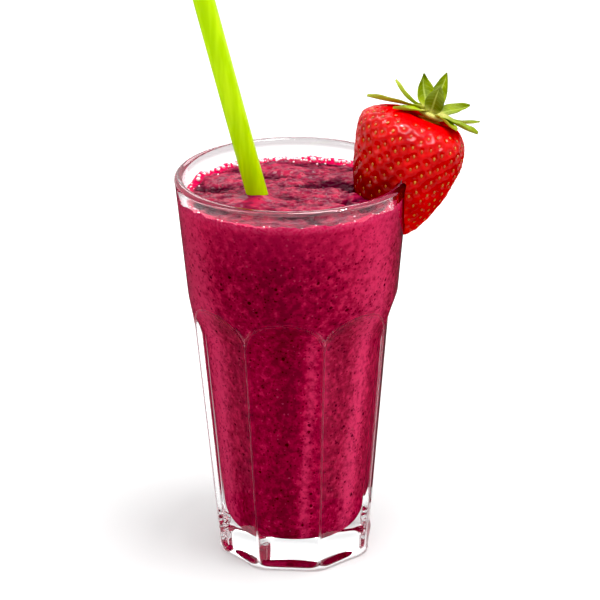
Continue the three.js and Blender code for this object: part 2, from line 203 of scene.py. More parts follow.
@dataclass
class MeshData:
    """Vertices in millimetres, faces and named numbers at the vertices of a mesh in the making."""

    vertices: np.ndarray
    faces: list[tuple[int, ...]]
    numbers: dict[str, np.ndarray] = field(default_factory=dict)

    @classmethod
    def loft(cls, rings: Sequence[np.ndarray], shape: Shape = Shape.CAPPED) -> "MeshData":
        """Joins rings of points into a closed skin.

        Args:
            rings: Rings with equal numbers of points, from the lower middle outwards and up.
            shape: Whether the first and last rings close on a point or on each other.

        Returns:
            The skin.
        """
        count = len(rings[0])
        step = np.arange(count)
        after = (step + 1) % count
        faces: list[tuple[int, ...]] = []
        pairs = [(i, i + 1) for i in range(len(rings) - 1)]
        if shape is Shape.LOOP:
            pairs.append((len(rings) - 1, 0))
        for low, high in pairs:
            a, b = low * count, high * count
            faces += list(zip(a + step, a + after, b + after, b + step))
        vertices = np.concatenate(rings)
        if shape is Shape.CAPPED:
            first, last = len(vertices), len(vertices) + 1
            top = (len(rings) - 1) * count
            faces += [(first, after[i], i) for i in range(count)]
            faces += [(last, top + i, top + after[i]) for i in range(count)]
            vertices = np.concatenate([vertices, [rings[0].mean(0)], [rings[-1].mean(0)]])
        return cls(vertices, [tuple(int(v) for v in f) for f in faces])

    @classmethod
    def slab(cls, upper: np.ndarray, lower: np.ndarray) -> "MeshData":
        """Closes two like grids of points into a thin slab.

        Args:
            upper: Rows and columns of points on the upper face.
            lower: The same on the lower face.

        Returns:
            The slab.
        """
        rows, columns = upper.shape[:2]
        size = rows * columns
        grid = np.arange(size).reshape(rows, columns)
        corners = grid[:-1, :-1], grid[1:, :-1], grid[1:, 1:], grid[:-1, 1:]
        faces = list(zip(*(corner.ravel() for corner in corners)))
        faces += [(p + size, s + size, r + size, q + size) for p, q, r, s in faces]
        border = [*grid[:, 0], *grid[-1, 1:], *grid[-2::-1, -1], *grid[0, -2:0:-1]]
        for here, after in zip(border, border[1:] + border[:1]):
            faces.append((after, here, here + size, after + size))
        vertices = np.concatenate([upper.reshape(-1, 3), lower.reshape(-1, 3)])
        return cls(vertices, [tuple(int(v) for v in f) for f in faces])

    @classmethod
    def joined(cls, parts: Sequence["MeshData"]) -> "MeshData":
        """Several meshes as one.

        Args:
            parts: The meshes, all with the same named numbers.

        Returns:
            Their vertices, faces and numbers together.
        """
        faces: list[tuple[int, ...]] = []
        start = 0
        for part in parts:
            faces += [tuple(v + start for v in f) for f in part.faces]
            start += len(part.vertices)
        names = parts[0].numbers
        numbers = {name: np.concatenate([p.numbers[name] for p in parts]) for name in names}
        return cls(np.concatenate([p.vertices for p in parts]), faces, numbers)

    def moved(self, matrix: Matrix) -> "MeshData":
        """The same mesh with its vertices moved by a matrix."""
        return MeshData(placed(self.vertices, matrix), self.faces, self.numbers)

    def to_object(self, name: str) -> bpy.types.Object:
        """Makes a smooth-shaded object of the mesh.

        Args:
            name: The object's name.

        Returns:
            The object, linked to the scene, in metres.
        """
        piece = add_mesh(name, (self.vertices * MM).tolist(), self.faces)
        for label, values in self.numbers.items():
            attribute = piece.data.attributes.new(label, "FLOAT", "POINT")
            attribute.data.foreach_set("value", values.astype(np.float32))
        piece.data.shade_smooth()
        return piece


class Signal:
    """A socket of a material's nodes, on which arithmetic adds the nodes that work it out."""

    def __init__(self, graph: "Graph", socket: bpy.types.NodeSocket) -> None:
        """Keeps the socket and the graph that it is in."""
        self.graph = graph
        self.socket = socket

    def __add__(self, other: "Source") -> "Signal":
        """The sum."""
        return self.graph.arithmetic("ADD", self, other)

    def __radd__(self, other: "Source") -> "Signal":
        """The sum, with the number first."""
        return self.graph.arithmetic("ADD", other, self)

    def __sub__(self, other: "Source") -> "Signal":
        """The difference."""
        return self.graph.arithmetic("SUBTRACT", self, other)

    def __rsub__(self, other: "Source") -> "Signal":
        """The difference, with the number first."""
        return self.graph.arithmetic("SUBTRACT", other, self)

    def __mul__(self, other: "Source") -> "Signal":
        """The product."""
        return self.graph.arithmetic("MULTIPLY", self, other)

    def __rmul__(self, other: "Source") -> "Signal":
        """The product, with the number first."""
        return self.graph.arithmetic("MULTIPLY", other, self)

    def ramp(self, low: float, high: float) -> "Signal":
        """A smooth rise.

        Args:
            low: Where the rise starts.
            high: Where it ends. It may be less than low, for a fall.

        Returns:
            0 before low and 1 past high.
        """
        settings = {"interpolation_type": "SMOOTHSTEP"}
        inputs = {"Value": self, "From Min": low, "From Max": high}
        if low > high:
            inputs.update({"From Min": high, "From Max": low, "To Min": 1.0, "To Max": 0.0})
        return self.graph.node("ShaderNodeMapRange", settings, inputs)


Source = Signal | float | Sequence[float]


class Graph:
    """The nodes of one material or world."""

    MIX_FACTOR = 0
    MIX_A = 6
    MIX_B = 7
    MIX_RESULT = 2

    def __init__(self, owner: bpy.types.Material | bpy.types.World,
                 shader: str = "Principled BSDF") -> None:
        """Keeps a material or world that holds only a shader and the output.

        Args:
            owner: The material or world.
            shader: The name of its shader node.
        """
        owner.use_nodes = True
        self.owner = owner
        self.tree = owner.node_tree
        self.shader = self.tree.nodes[shader]

    def set_input(self, socket: bpy.types.NodeSocket, source: Source) -> None:
        """Links a signal to a socket, or gives the socket a number or a colour.

        Args:
            socket: The input.
            source: What goes into it.
        """
        if isinstance(source, Signal):
            self.tree.links.new(source.socket, socket)
            return
        if socket.type == "RGBA" and len(source) == 3:
            source = (*source, 1.0)
        socket.default_value = source

    def node(self, kind: str, settings: dict | None = None, inputs: dict | None = None,
             output: int | str = 0) -> Signal:
        """Adds a node.

        Args:
            kind: The node's type.
            settings: Its properties, such as an operation, which are set first.
            inputs: Values or signals for its sockets, by name or number.
            output: The name or number of the output that is used.

        Returns:
            The signal of that output.
        """
        made = self.tree.nodes.new(kind)
        for key, value in (settings or {}).items():
            setattr(made, key, value)
        for key, value in (inputs or {}).items():
            self.set_input(made.inputs[key], value)
        return Signal(self, made.outputs[output])

    @staticmethod
    def has_axes(source: Source) -> bool:
        """True for a vector or a colour."""
        socket = source.socket.type if isinstance(source, Signal) else None
        return socket in ("RGBA", "VECTOR") if socket else not isinstance(source, (int, float))

    def arithmetic(self, operation: str, a: Source, b: Source) -> Signal:
        """Works out a sum, product and so on of numbers, or of vectors and colours.

        Args:
            operation: The Math node's name for it.
            a: The first value.
            b: The second value.

        Returns:
            The result.
        """
        if not (self.has_axes(a) or self.has_axes(b)):
            return self.node("ShaderNodeMath", {"operation": operation}, {0: a, 1: b})
        pair = [s if isinstance(s, Signal) or self.has_axes(s) else (s, s, s) for s in (a, b)]
        return self.node("ShaderNodeVectorMath", {"operation": operation}, {0: pair[0], 1: pair[1]})

    def mix(self, share: Source, a: Source, b: Source) -> Signal:
        """A blend of two colours, with the share of the second one."""
        inputs = {self.MIX_FACTOR: share, self.MIX_A: a, self.MIX_B: b}
        return self.node("ShaderNodeMix", {"data_type": "RGBA"}, inputs, self.MIX_RESULT)

    def layered(self, base: Source, *layers: tuple[Source, Source]) -> Signal:
        """Lays colours over a base.

        Args:
            base: The lowest colour.
            *layers: The share and the colour of each layer, from the lowest up.

        Returns:
            The colour that shows.
        """
        for share, colour in layers:
            base = self.mix(share, base, colour)
        return base

    def place(self) -> Signal:
        """The place on the object, in millimetres."""
        return self.node("ShaderNodeTexCoord", output="Object") * (1 / MM)

    def attribute(self, name: str) -> Signal:
        """A number that the mesh keeps at its vertices."""
        return self.node("ShaderNodeAttribute", {"attribute_name": name}, output="Fac")

    def axes(self, vector: Signal) -> list[Signal]:
        """The three parts of a vector."""
        split = self.node("ShaderNodeSeparateXYZ", inputs={0: vector})
        return [Signal(self, output) for output in split.socket.node.outputs]

    def height(self, where: Signal) -> Signal:
        """The height of a place."""
        return self.axes(where)[2]

    def from_axis(self, where: Signal) -> Signal:
        """The distance of a place from the glass's axis."""
        flat = where * (1.0, 1.0, 0.0)
        return self.node("ShaderNodeVectorMath", {"operation": "LENGTH"}, {0: flat}, "Value")

    def noise(self, where: Signal, size: float, detail: float = 2.0) -> Signal:
        """Cloudy noise from 0 to 1, mostly near 0.5, with clouds of a size and finer layers on them."""
        inputs = {"Vector": where, "Scale": 1 / size, "Detail": detail}
        return self.node("ShaderNodeTexNoise", None, inputs, "Fac")

    def bump(self, height: Signal, depth: float) -> Signal:
        """The normal of a fine relief from 0 to 1, whose full depth is in millimetres."""
        return self.node("ShaderNodeBump", None, {"Height": height, "Distance": depth * MM})

    def finish(self, **inputs: Source) -> bpy.types.Material | bpy.types.World:
        """Sets the shader's sockets.

        Args:
            **inputs: Values or signals by socket name, with _ for a space.

        Returns:
            The finished material or world.
        """
        for key, value in inputs.items():
            self.set_input(self.shader.inputs[key.replace("_", " ")], value)
        return self.owner


def new_material(name: str) -> Graph:
    """The nodes of a new material."""
    return Graph(bpy.data.materials.new(name))


@dataclass(frozen=True)
class Patches:
    """Cloudy patches in a finish: their size, the noise at which they start and are full, and layers."""

    size: float
    low: float
    high: float
    detail: float = 2.0
    squeeze: Place = (1.0, 1.0, 1.0)

    def cloud(self, graph: Graph, where: Signal) -> Signal:
        """The noise that the patches come from, at a place."""
        return graph.noise(where * self.squeeze, self.size, self.detail)

    def share(self, graph: Graph, where: Signal) -> Signal:
        """How much of a patch there is at a place, from 0 to 1."""
        return self.cloud(graph, where).ramp(self.low, self.high)


@dataclass(frozen=True)
class ClearGlass:
    """Polished pressed glass, a little dull along its pressed edges, with painted shade that greys its
    lip.
    """

    tint: Colour = (0.95, 0.955, 0.96)
    painted_rim_shade: Colour = (0.53, 0.50, 0.51)
    lip: Range = (147.5, 149.0)
    ior: float = 1.5
    edge_roughness: float = 0.36

    def material(self) -> bpy.types.Material:
        """Makes the material."""
        graph = new_material("clear_glass")
        dull = graph.attribute("edge") * self.edge_roughness
        # painted shade: the lip is tinted grey, which draws a dark line round the rim
        colour = graph.mix(graph.height(graph.place()).ramp(*self.lip), self.tint, self.painted_rim_shade)
        return graph.finish(Base_Color=colour, Roughness=dull, IOR=self.ior, Transmission_Weight=1.0)


@dataclass(frozen=True)
class Flecks:
    """Round flecks of uneven size in the blended fruit.

    They have a colour, a mean spacing, a largest radius, the share of them that is there and a strength.
    """

    colour: Colour
    spacing: float
    largest: float
    shown: float
    strength: float
    shift: Place = (0.0, 0.0, 0.0)
    smallest: float = 0.4
    sharpness: float = 5.0
    rim: Range = (-0.4, 0.6)
    fade: float = 0.04

    def layer(self, graph: Graph, where: Signal) -> tuple[Signal, Colour]:
        """The flecks as a layer of colour.

        Args:
            graph: The material's nodes.
            where: The place in millimetres.

        Returns:
            The share of the flecks' colour, and that colour.
        """
        inputs = {"Vector": where + self.shift, "Scale": 1 / self.spacing}
        distance = graph.node("ShaderNodeTexVoronoi", None, inputs, "Distance")
        chance, size, _ = graph.axes(Signal(graph, distance.socket.node.outputs["Color"]))
        there = chance.ramp(1 - self.shown, 1 + self.fade - self.shown)
        radius = there * (self.smallest + (1 - self.smallest) * size) * (self.largest / self.spacing)
        inside = ((radius - distance) * (self.spacing * self.sharpness)).ramp(*self.rim)
        return inside * self.strength, self.colour


@dataclass(frozen=True)
class BlendedBerries:
    """Thick blended fruit with dark and light flecks, upright bands of painted light and painted shade, a
    moist darker top with painted shade in its creases, and froth at the wall.
    """

    deep: Colour = (0.22, 0.009, 0.034)
    body: Colour = (0.38, 0.013, 0.052)
    bright: Colour = (0.64, 0.024, 0.095)
    painted_light_colour: Colour = (0.78, 0.055, 0.165)
    speck: Colour = (0.030, 0.0006, 0.006)
    fleck: Colour = (0.75, 0.10, 0.19)
    surface: Colour = (0.16, 0.008, 0.034)
    painted_crease_shade: Colour = (0.05, 0.003, 0.012)
    ring: Colour = (0.58, 0.006, 0.07)
    froth: Colour = (0.64, 0.05, 0.14)
    roughness: float = 0.42
    shine: float = 0.28
    hollow_dulling: float = 0.2
    ring_dulling: float = 0.7
    coat_roughness: float = 0.12
    pulp_size: float = 2.4
    grain_size: float = 0.9
    pulp_share: float = 0.7
    painted_light_strength: float = 0.13
    to_body: Range = (0.36, 0.52)
    to_bright: Range = (0.50, 0.68)
    painted_light_range: Range = (0.1, 1.1)
    painted_light_blend: Range = (0.3, 0.8)
    painted_light_share: float = 0.75
    warp: Place = (0.8, 0.8, 0.8)
    warp_size: float = 1.2
    bright_band: float = 22.0
    bright_strength: float = 0.35
    froth_patches: Patches = Patches(0.9, 0.40, 0.58)
    froth_least: float = 0.2
    froth_strength: float = 0.7
    froth_band: float = 0.4
    froth_edge: Range = (0.9, 0.2)
    ring_edge: Range = (3.4, 1.8)
    hollow: Range = (0.2, -0.8)
    mottle: Patches = Patches(3.0, 0.38, 0.66, 4.0, (0.6, 1.0, 1.0))
    mottle_relief: float = 0.3

    def mottled(self, graph: Graph, where: Signal) -> Signal:
        """The colour seen through the glass, with its bands of painted light and painted shade.

        Args:
            graph: The material's nodes.
            where: The place in millimetres.

        Returns:
            The colour.
        """
        # painted light and painted shade: upright bands, lighter where positive and darker where negative
        tone = graph.attribute("tone")
        pulp = graph.noise(where, self.pulp_size, detail=3.0) * self.pulp_share
        grain = graph.noise(where, self.grain_size) * (1 - self.pulp_share)
        blend = pulp + grain + tone * self.painted_light_strength
        # painted light: where the bands are lit, the blend turns a paler pink
        painted_light_mask = tone.ramp(*self.painted_light_range) * blend.ramp(*self.painted_light_blend) * self.painted_light_share
        bent = where + graph.noise(where, self.warp_size) * self.warp
        flecks = (
            Flecks(self.fleck, 2.1, 0.5, 0.3, 0.3, (5.0, 3.0, 9.0)),
            Flecks(self.speck, 1.5, 0.5, 0.75, 0.7),
            Flecks(self.speck, 3.2, 0.75, 0.4, 0.85, (2.0, 7.0, 4.0)),
        )
        return graph.layered(
            self.deep,
            (blend.ramp(*self.to_body), self.body),
            (blend.ramp(*self.to_bright), self.bright),
            (painted_light_mask, self.painted_light_colour),
            *(kind.layer(graph, bent) for kind in flecks),
        )

    def material(self, level: float, edge: float) -> bpy.types.Material:
        """Makes the material.

        Args:
            level: The height of the drink's surface.
            edge: The radius at which the surface meets the glass.

        Returns:
            The material.
        """
        graph = new_material("berry_drink")
        where = graph.place()
        z = graph.height(where)
        radius = graph.from_axis(where)
        froth = self.froth_patches.share(graph, where) * self.froth_strength + self.froth_least
        side = graph.layered(
            self.mottled(graph, where),
            (z.ramp(level - self.bright_band, level) * self.bright_strength, self.bright),
            (z.ramp(level - self.froth_band, level + self.froth_band) * froth, self.froth),
        )
        hollow = graph.attribute("relief").ramp(*self.hollow)
        mottle = self.mottle.cloud(graph, where)
        border = radius.ramp(*(edge - inset for inset in self.ring_edge))
        skin = graph.layered(
            self.surface,
            (mottle.ramp(self.mottle.low, self.mottle.high), self.body),
            # painted shade in the hollows of the surface
            (hollow, self.painted_crease_shade),
            Flecks(self.speck, 1.5, 0.45, 0.5, 0.7).layer(graph, where),
            (border, self.ring),
            (radius.ramp(*(edge - inset for inset in self.froth_edge)) * froth, self.froth),
        )
        top = graph.attribute("top")
        shine = top * (self.shine - hollow * self.hollow_dulling) * (1 - border * self.ring_dulling)
        return graph.finish(Base_Color=graph.mix(top, side, skin), Roughness=self.roughness,
                            Specular_IOR_Level=0.0, Coat_Weight=shine, Coat_Roughness=self.coat_roughness,
                            Normal=graph.bump(mottle, self.mottle_relief))


@dataclass(frozen=True)
class BubbleFilm:
    """The wet skin of small bubbles."""

    colour: Colour = (0.90, 0.60, 0.68)
    pale: Colour = (0.98, 0.88, 0.90)
    patches: Patches = Patches(1.5, 0.35, 0.65)
    roughness: float = 0.15
    coat: float = 0.6
    coat_roughness: float = 0.05

    def material(self) -> bpy.types.Material:
        """Makes the material."""
        graph = new_material("bubble_film")
        colour = graph.mix(self.patches.share(graph, graph.place()), self.colour, self.pale)
        return graph.finish(Base_Color=colour, Roughness=self.roughness, Coat_Weight=self.coat,
                            Coat_Roughness=self.coat_roughness)


@dataclass(frozen=True)
class LimePlastic:
    """Smooth plastic that lets a little light through."""

    colour: Colour = (0.36, 0.59, 0.0)
    pale: Colour = (0.47, 0.70, 0.006)
    roughness: float = 0.33
    specular: float = 0.12
    glow_through: float = 0.25
    glow_radius: Place = (0.6, 1.0, 0.1)
    glow_scale: float = 0.002
    streaks: Patches = Patches(2.5, 0.35, 0.7, squeeze=(1.0, 1.0, 0.08))
    grain_size: float = 0.8
    grain_squeeze: Place = (1.0, 1.0, 0.15)
    grain_depth: float = 0.02

    def material(self) -> bpy.types.Material:
        """Makes the material."""
        graph = new_material("lime_plastic")
        where = graph.place()
        colour = graph.mix(self.streaks.share(graph, where), self.colour, self.pale)
        grain = graph.noise(where * self.grain_squeeze, self.grain_size)
        return graph.finish(Base_Color=colour, Roughness=self.roughness, Specular_IOR_Level=self.specular,
                            Subsurface_Weight=self.glow_through, Subsurface_Radius=self.glow_radius,
                            Subsurface_Scale=self.glow_scale, Normal=graph.bump(grain, self.grain_depth))


@dataclass(frozen=True)
class BerryFlesh:
    """Shiny ripe skin with painted shade inside the glass, warmer round the seeds and pale under the
    leaves.
    """

    ripe: Colour = (0.55, 0.005, 0.006)
    deep: Colour = (0.37, 0.003, 0.004)
    warm: Colour = (0.60, 0.022, 0.006)
    shaded: Colour = (0.14, 0.004, 0.004)
    neck: Colour = (0.80, 0.38, 0.10)
    roughness: float = 0.42
    shine: float = 0.38
    shine_end: Range = (0.95, 0.88)
    coat_roughness: float = 0.04
    glow_through: float = 0.12
    glow_radius: Place = (1.0, 0.15, 0.1)
    glow_scale: float = 0.0025
    clouds: Patches = Patches(9.0, 0.35, 0.68, 3.0)
    warm_dimple: Range = (0.25, 1.0)
    warm_strength: float = 0.5
    inside_radius: Range = (42.0, 38.0)
    inside_height: Range = (160.0, 147.0)
    inside_strength: float = 0.85
    neck_start: Range = (0.993, 1.0)
    pore_size: float = 0.7
    pore_depth: float = 0.02

    def material(self) -> bpy.types.Material:
        """Makes the material."""
        graph = new_material("strawberry_flesh")
        where = graph.place()
        crown = graph.attribute("crown")
        inside = graph.from_axis(where).ramp(*self.inside_radius)
        inside *= graph.height(where).ramp(*self.inside_height)
        colour = graph.layered(
            self.deep,
            (self.clouds.share(graph, where), self.ripe),
            (graph.attribute("dimple").ramp(*self.warm_dimple) * self.warm_strength, self.warm),
            # painted shade: darker where the berry hangs inside the glass, low down by the drink
            (inside * self.inside_strength, self.shaded),
            (crown.ramp(*self.neck_start), self.neck),
        )
        pores = graph.bump(graph.noise(where, self.pore_size), self.pore_depth)
        return graph.finish(Base_Color=colour, Roughness=self.roughness, Specular_IOR_Level=0.0,
                            Coat_Weight=self.shine * crown.ramp(*self.shine_end),
                            Coat_Roughness=self.coat_roughness, Subsurface_Weight=self.glow_through,
                            Subsurface_Radius=self.glow_radius, Subsurface_Scale=self.glow_scale,
                            Normal=pores)


@dataclass(frozen=True)
class SeedSkin:
    """The yellow seeds, a little uneven in colour."""

    yellow: Colour = (0.50, 0.17, 0.014)
    tan: Colour = (0.40, 0.06, 0.010)
    blotches: Patches = Patches(4.0, 0.35, 0.65)
    roughness: float = 0.35

    def material(self) -> bpy.types.Material:
        """Makes the material."""
        graph = new_material("seed_skin")
        colour = graph.mix(self.blotches.share(graph, graph.place()), self.yellow, self.tan)
        return graph.finish(Base_Color=colour, Roughness=self.roughness)


@dataclass(frozen=True)
class Leaf:
    """Satin leaf: yellowish at the base, green along the blade, paler under it and along its veins, with
    painted shade on some sepals.
    """

    base: Colour = (0.52, 0.50, 0.12)
    blade: Colour = (0.14, 0.20, 0.0)
    tip: Colour = (0.30, 0.38, 0.004)
    under: Colour = (0.44, 0.50, 0.06)
    dark: Colour = (0.05, 0.08, 0.0)
    vein: Colour = (0.46, 0.54, 0.10)
    roughness: float = 0.5
    specular: float = 0.1
    clouds: Patches = Patches(5.0, 0.3, 0.7, 3.0)
    under_strength: float = 0.7
    rib_edge: Range = (0.02, 0.0)
    rib_strength: float = 0.5
    vein_rate: float = 46.0
    vein_sweep: float = 9.0
    vein_edge: Range = (0.75, 1.0)
    vein_strength: float = 0.15
    base_reach: Range = (0.28, 0.0)
    relief: float = 0.12
    vein_relief: float = 0.4
    rib_relief: float = 0.6

    def material(self) -> bpy.types.Material:
        """Makes the material."""
        graph = new_material("leaf_green")
        along = graph.attribute("along")
        across = graph.attribute("across")
        offset = across * across
        rib = offset.ramp(*self.rib_edge)
        wave = along * self.vein_rate + offset * self.vein_sweep
        veins = graph.node("ShaderNodeMath", {"operation": "SINE"}, {0: wave}).ramp(*self.vein_edge)
        colour = graph.layered(
            self.blade,
            (self.clouds.share(graph, graph.place()), self.tip),
            (graph.attribute("under") * self.under_strength, self.under),
            # painted shade: sepals with a shade are darkened as if out of the light
            (graph.attribute("shade"), self.dark),
            (rib * self.rib_strength, self.vein),
            (veins * self.vein_strength, self.vein),
            (along.ramp(*self.base_reach), self.base),
        )
        relief = graph.bump(1 - veins * self.vein_relief - rib * self.rib_relief, self.relief)
        return graph.finish(Base_Color=colour, Roughness=self.roughness, Specular_IOR_Level=self.specular,
                            Normal=relief)


@dataclass(frozen=True)
class PaperFloor:
    """The plain white sheet that the glass stands on, with a painted glow that is strongest away from the
    glass.
    """

    colour: Colour = (0.55, 0.55, 0.55)
    roughness: float = 0.7
    specular: float = 0.1
    painted_glow: float = 0.6
    painted_glow_reach: Range = (90.0, 350.0)
    painted_glow_near_glass: Colour = (0.33, 0.33, 0.33)

    def material(self) -> bpy.types.Material:
        """Makes the material."""
        graph = new_material("paper_floor")
        # painted glow: the floor itself gives off light, less of it near the glass where the shadow falls
        light = graph.mix(graph.from_axis(graph.place()).ramp(*self.painted_glow_reach), self.painted_glow_near_glass, WHITE)
        return graph.finish(Base_Color=self.colour, Roughness=self.roughness,
                            Specular_IOR_Level=self.specular, Emission_Color=light,
                            Emission_Strength=self.painted_glow)


@dataclass(frozen=True)
class DarkCard:
    """Dark card, which only reflections show."""

    shade: float

    def material(self) -> bpy.types.Material:
        """Makes the material."""
        return new_material("dark_card").finish(Base_Color=(self.shade,) * 3, Roughness=1.0,
                                                Specular_IOR_Level=0.0)


def dress(piece: bpy.types.Object, material: bpy.types.Material, slot: Slot,
          *nodes: str) -> bpy.types.Object:
    """Gives a piece its material and its body, and hides the CAD nodes that it stands for.

    Args:
        piece: The piece.
        material: Its material.
        slot: Not used.
        *nodes: The CAD nodes that it replaces.

    Returns:
        The same piece.
    """
    piece.data.materials.append(material)
    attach(piece, BODY)
    if nodes:
        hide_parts(*nodes)
    return piece


@dataclass(frozen=True)
class Tumbler:
    """The pressed glass: a tapered round body with eight hollow flutes, a collar and a rolled rim."""

    height: float = 151.5
    foot_radius: float = 30.4
    taper: float = 0.0895
    foot_edge: float = 2.2
    rim_radius: float = 43.99
    rim_thickness: float = 3.3
    bead_height: float = 3.4
    flutes: int = 8
    flute_turn: float = math.radians(-5)
    arch_top: float = 105.7
    arch_run: float = 13.2
    arch_end: float = -0.5
    flute_hollow: float = 0.7
    rib_softness: float = 0.15
    edge_depth: float = 0.42
    foot_band: Range = (0.2, 4.6)
    foot_flute_share: float = 0.45
    floor_height: float = 9.5
    floor_round: float = 9.0
    well_radius: float = 20.3
    well_taper: float = 0.075
    collar_radius: float = 35.6
    collar_taper: float = 0.121
    collar_height: float = 108.0
    shoulder: Range = (86.0, 112.0)
    steps: int = 384
    foot_shares: tuple[float, ...] = (0.3, 0.6, 0.85)
    floor_shares: tuple[float, ...] = (0.25, 0.5, 0.75)
    foot_steps: int = 9
    floor_steps: int = 14
    lip_steps: int = 17
    low_band: float = 9.0
    arch_margin: Range = (2.0, 8.0)
    outside_steps: tuple[int, ...] = (10, 28, 54, 16)
    inside_steps: tuple[int, ...] = (16, 32, 24)

    @property
    def bead_low(self) -> float:
        """The height at which the rim bead begins."""
        return self.height - self.bead_height

    @property
    def floor_top(self) -> float:
        """The height at which the rounded floor meets the wall of the cavity."""
        return self.floor_height + self.floor_round

    def body_radius(self, z: Number) -> Number:
        """The radius of the round body at a height, before the flutes are pressed in."""
        return self.foot_radius + self.taper * z

    def wall_choices(self, azimuth: np.ndarray, z: float) -> np.ndarray:
        """The radii of the round body and of the two nearest flutes, of which the wall follows the least.

        Args:
            azimuth: Azimuths round the glass.
            z: The height.

        Returns:
            Three rows with a radius for each azimuth.
        """
        half = math.pi / self.flutes
        plain = self.body_radius(z)
        below = min((self.arch_top - z) / self.arch_run, 1)
        if below < self.arch_end:
            return np.stack([np.full_like(azimuth, plain + away) for away in (0, plain, plain)])
        share = below * (2 - below) * lerp(self.foot_flute_share, 1, smoothstep(z, *self.foot_band))
        flat = plain * (1 - (1 - math.cos(half)) * share)
        turns = (azimuth - self.flute_turn) / (2 * half)
        offset = (turns - np.round(turns)) * 2 * half
        choices = [np.full_like(azimuth, plain)]
        for side in (offset, np.abs(offset) - 2 * half):
            hollow = self.flute_hollow * share * (1 - (np.sin(side) / math.sin(half)) ** 2)
            choices.append(flat / np.cos(side) - hollow)
        return np.stack(choices)

    def outer_radius(self, azimuth: np.ndarray, z: float) -> np.ndarray:
        """The outside radius below the rim bead, with softly rounded ribs.

        Args:
            azimuth: Azimuths round the glass.
            z: The height.

        Returns:
            A radius for each azimuth.
        """
        stack = self.wall_choices(azimuth, z)
        least = stack.min(0)
        return least - self.rib_softness * np.log(np.exp((least - stack) / self.rib_softness).sum(0))

    def edge_share(self, azimuth: np.ndarray, z: float) -> np.ndarray:
        """How near the wall is to a rib or an arch, from 0 to 1, for each azimuth."""
        least, second, _ = np.sort(self.wall_choices(azimuth, z), 0)
        return hill(second - least, self.edge_depth)

    def cavity_radius(self, z: Number) -> Number:
        """The inside radius above the rounded floor.

        Args:
            z: The height, or several.

        Returns:
            A radius for each height.
        """
        well = self.well_radius + self.well_taper * (z - self.floor_height)
        collar = self.collar_radius + self.collar_taper * (z - self.collar_height)
        return lerp(well, collar, smoothstep(z, *self.shoulder))

    def floor_profile(self, into_wall: float) -> list[tuple[float, float]]:
        """Radius and height up the rounded floor of the cavity.

        Args:
            into_wall: How far the profile lies inside the glass.

        Returns:
            Points from near the axis to the foot of the wall.
        """
        edge = self.cavity_radius(self.floor_top) - self.floor_round
        points = [(edge * share, self.floor_height - into_wall) for share in self.floor_shares]
        size = self.floor_round + into_wall
        for angle in np.linspace(0, math.pi / 2, self.floor_steps):
            points.append((edge + size * math.sin(angle), self.floor_top - size * math.cos(angle)))
        return points

    def lip_arc(self, gap: float, count: int) -> list[tuple[float, float]]:
        """Radius and height over the round lip.

        Args:
            gap: How far outside the glass the arc runs.
            count: How many points it has.

        Returns:
            Points from outside to inside.
        """
        half = self.rim_thickness / 2
        middle, springing = self.rim_radius - half, self.height - half
        size = half + gap
        return [(middle + size * math.cos(angle), springing + size * math.sin(angle))
                for angle in np.linspace(0, math.pi, count)]

    def build(self) -> bpy.types.Object:
        """Builds the glass."""
        around = azimuths(self.steps, self.flute_turn)
        foot = self.outer_radius(around, 0.0) - self.foot_edge
        rings = lathe(around, [(foot * share, 0.0) for share in self.foot_shares])
        for angle in np.linspace(0, math.pi / 2, self.foot_steps):
            z = self.foot_edge * (1 - math.cos(angle))
            inset = self.foot_edge * (1 - math.sin(angle))
            rings.append(ring(around, self.outer_radius(around, z) - inset, z))
        arch_low = self.arch_top - self.arch_run - self.arch_margin[0]
        stops = (self.low_band, arch_low, self.arch_top + self.arch_margin[1], self.bead_low)
        heights = stepped(self.foot_edge, *zip(stops, self.outside_steps))[1:-1]
        start = len(rings) * self.steps
        rings += lathe(around, [(self.outer_radius(around, z), z) for z in heights])
        outside = [(self.body_radius(self.bead_low), self.bead_low), *self.lip_arc(0.0, self.lip_steps)]
        stops = (*self.shoulder[::-1], self.floor_top)
        inside = stepped(self.bead_low, *zip(stops, self.inside_steps))[:-1]
        rings += lathe(around, [*outside, *((self.cavity_radius(z), z) for z in inside),
                                *reversed(self.floor_profile(0.0))])
        data = MeshData.loft(rings)
        edge = np.zeros(len(data.vertices))
        shares = np.concatenate([self.edge_share(around, z) for z in heights])
        edge[start:start + len(shares)] = shares
        data.numbers = {"edge": edge}
        return data.to_object("tumbler")


@dataclass(frozen=True)
class Straw:
    """The slanted drinking straw."""

    length: float = 220.0
    radius: float = 4.0
    wall: float = 0.9
    lean: float = math.radians(13.7)
    foot: Place = (15.1, -4.4, 30.0)
    edge_round: float = 0.25
    steps: int = 96
    outside_steps: int = 60
    inside_steps: int = 20

    def to_world(self) -> Matrix:
        """The straw's own frame in the model, in millimetres."""
        return Matrix.Translation(self.foot) @ Matrix.Rotation(-self.lean, 4, "Y")

    def axis_at(self, z: float) -> tuple[float, float]:
        """Where the straw's middle line is at a height."""
        return self.foot[0] - (z - self.foot[2]) * math.tan(self.lean), self.foot[1]

    def build(self) -> bpy.types.Object:
        """Builds the tube with its softly rounded ends."""
        r = self.edge_round
        inner, outer = self.radius - self.wall, self.radius
        low, high, top = r, self.length - r, self.length
        profile = [(inner, low), (inner + r, 0), (outer - r, 0), (outer, low)]
        profile += [(outer, z) for z in np.linspace(low, high, self.outside_steps)[1:]]
        profile += [(outer - r, top), (inner + r, top), (inner, high)]
        profile += [(inner, z) for z in np.linspace(high, low, self.inside_steps)[1:-1]]
        tube = MeshData.loft(lathe(azimuths(self.steps), profile), Shape.LOOP)
        return tube.moved(self.to_world()).to_object("drinking_straw")


@dataclass(frozen=True)
class Swell:
    """One wave on the drink's surface."""

    turn: float
    length: float
    height: float


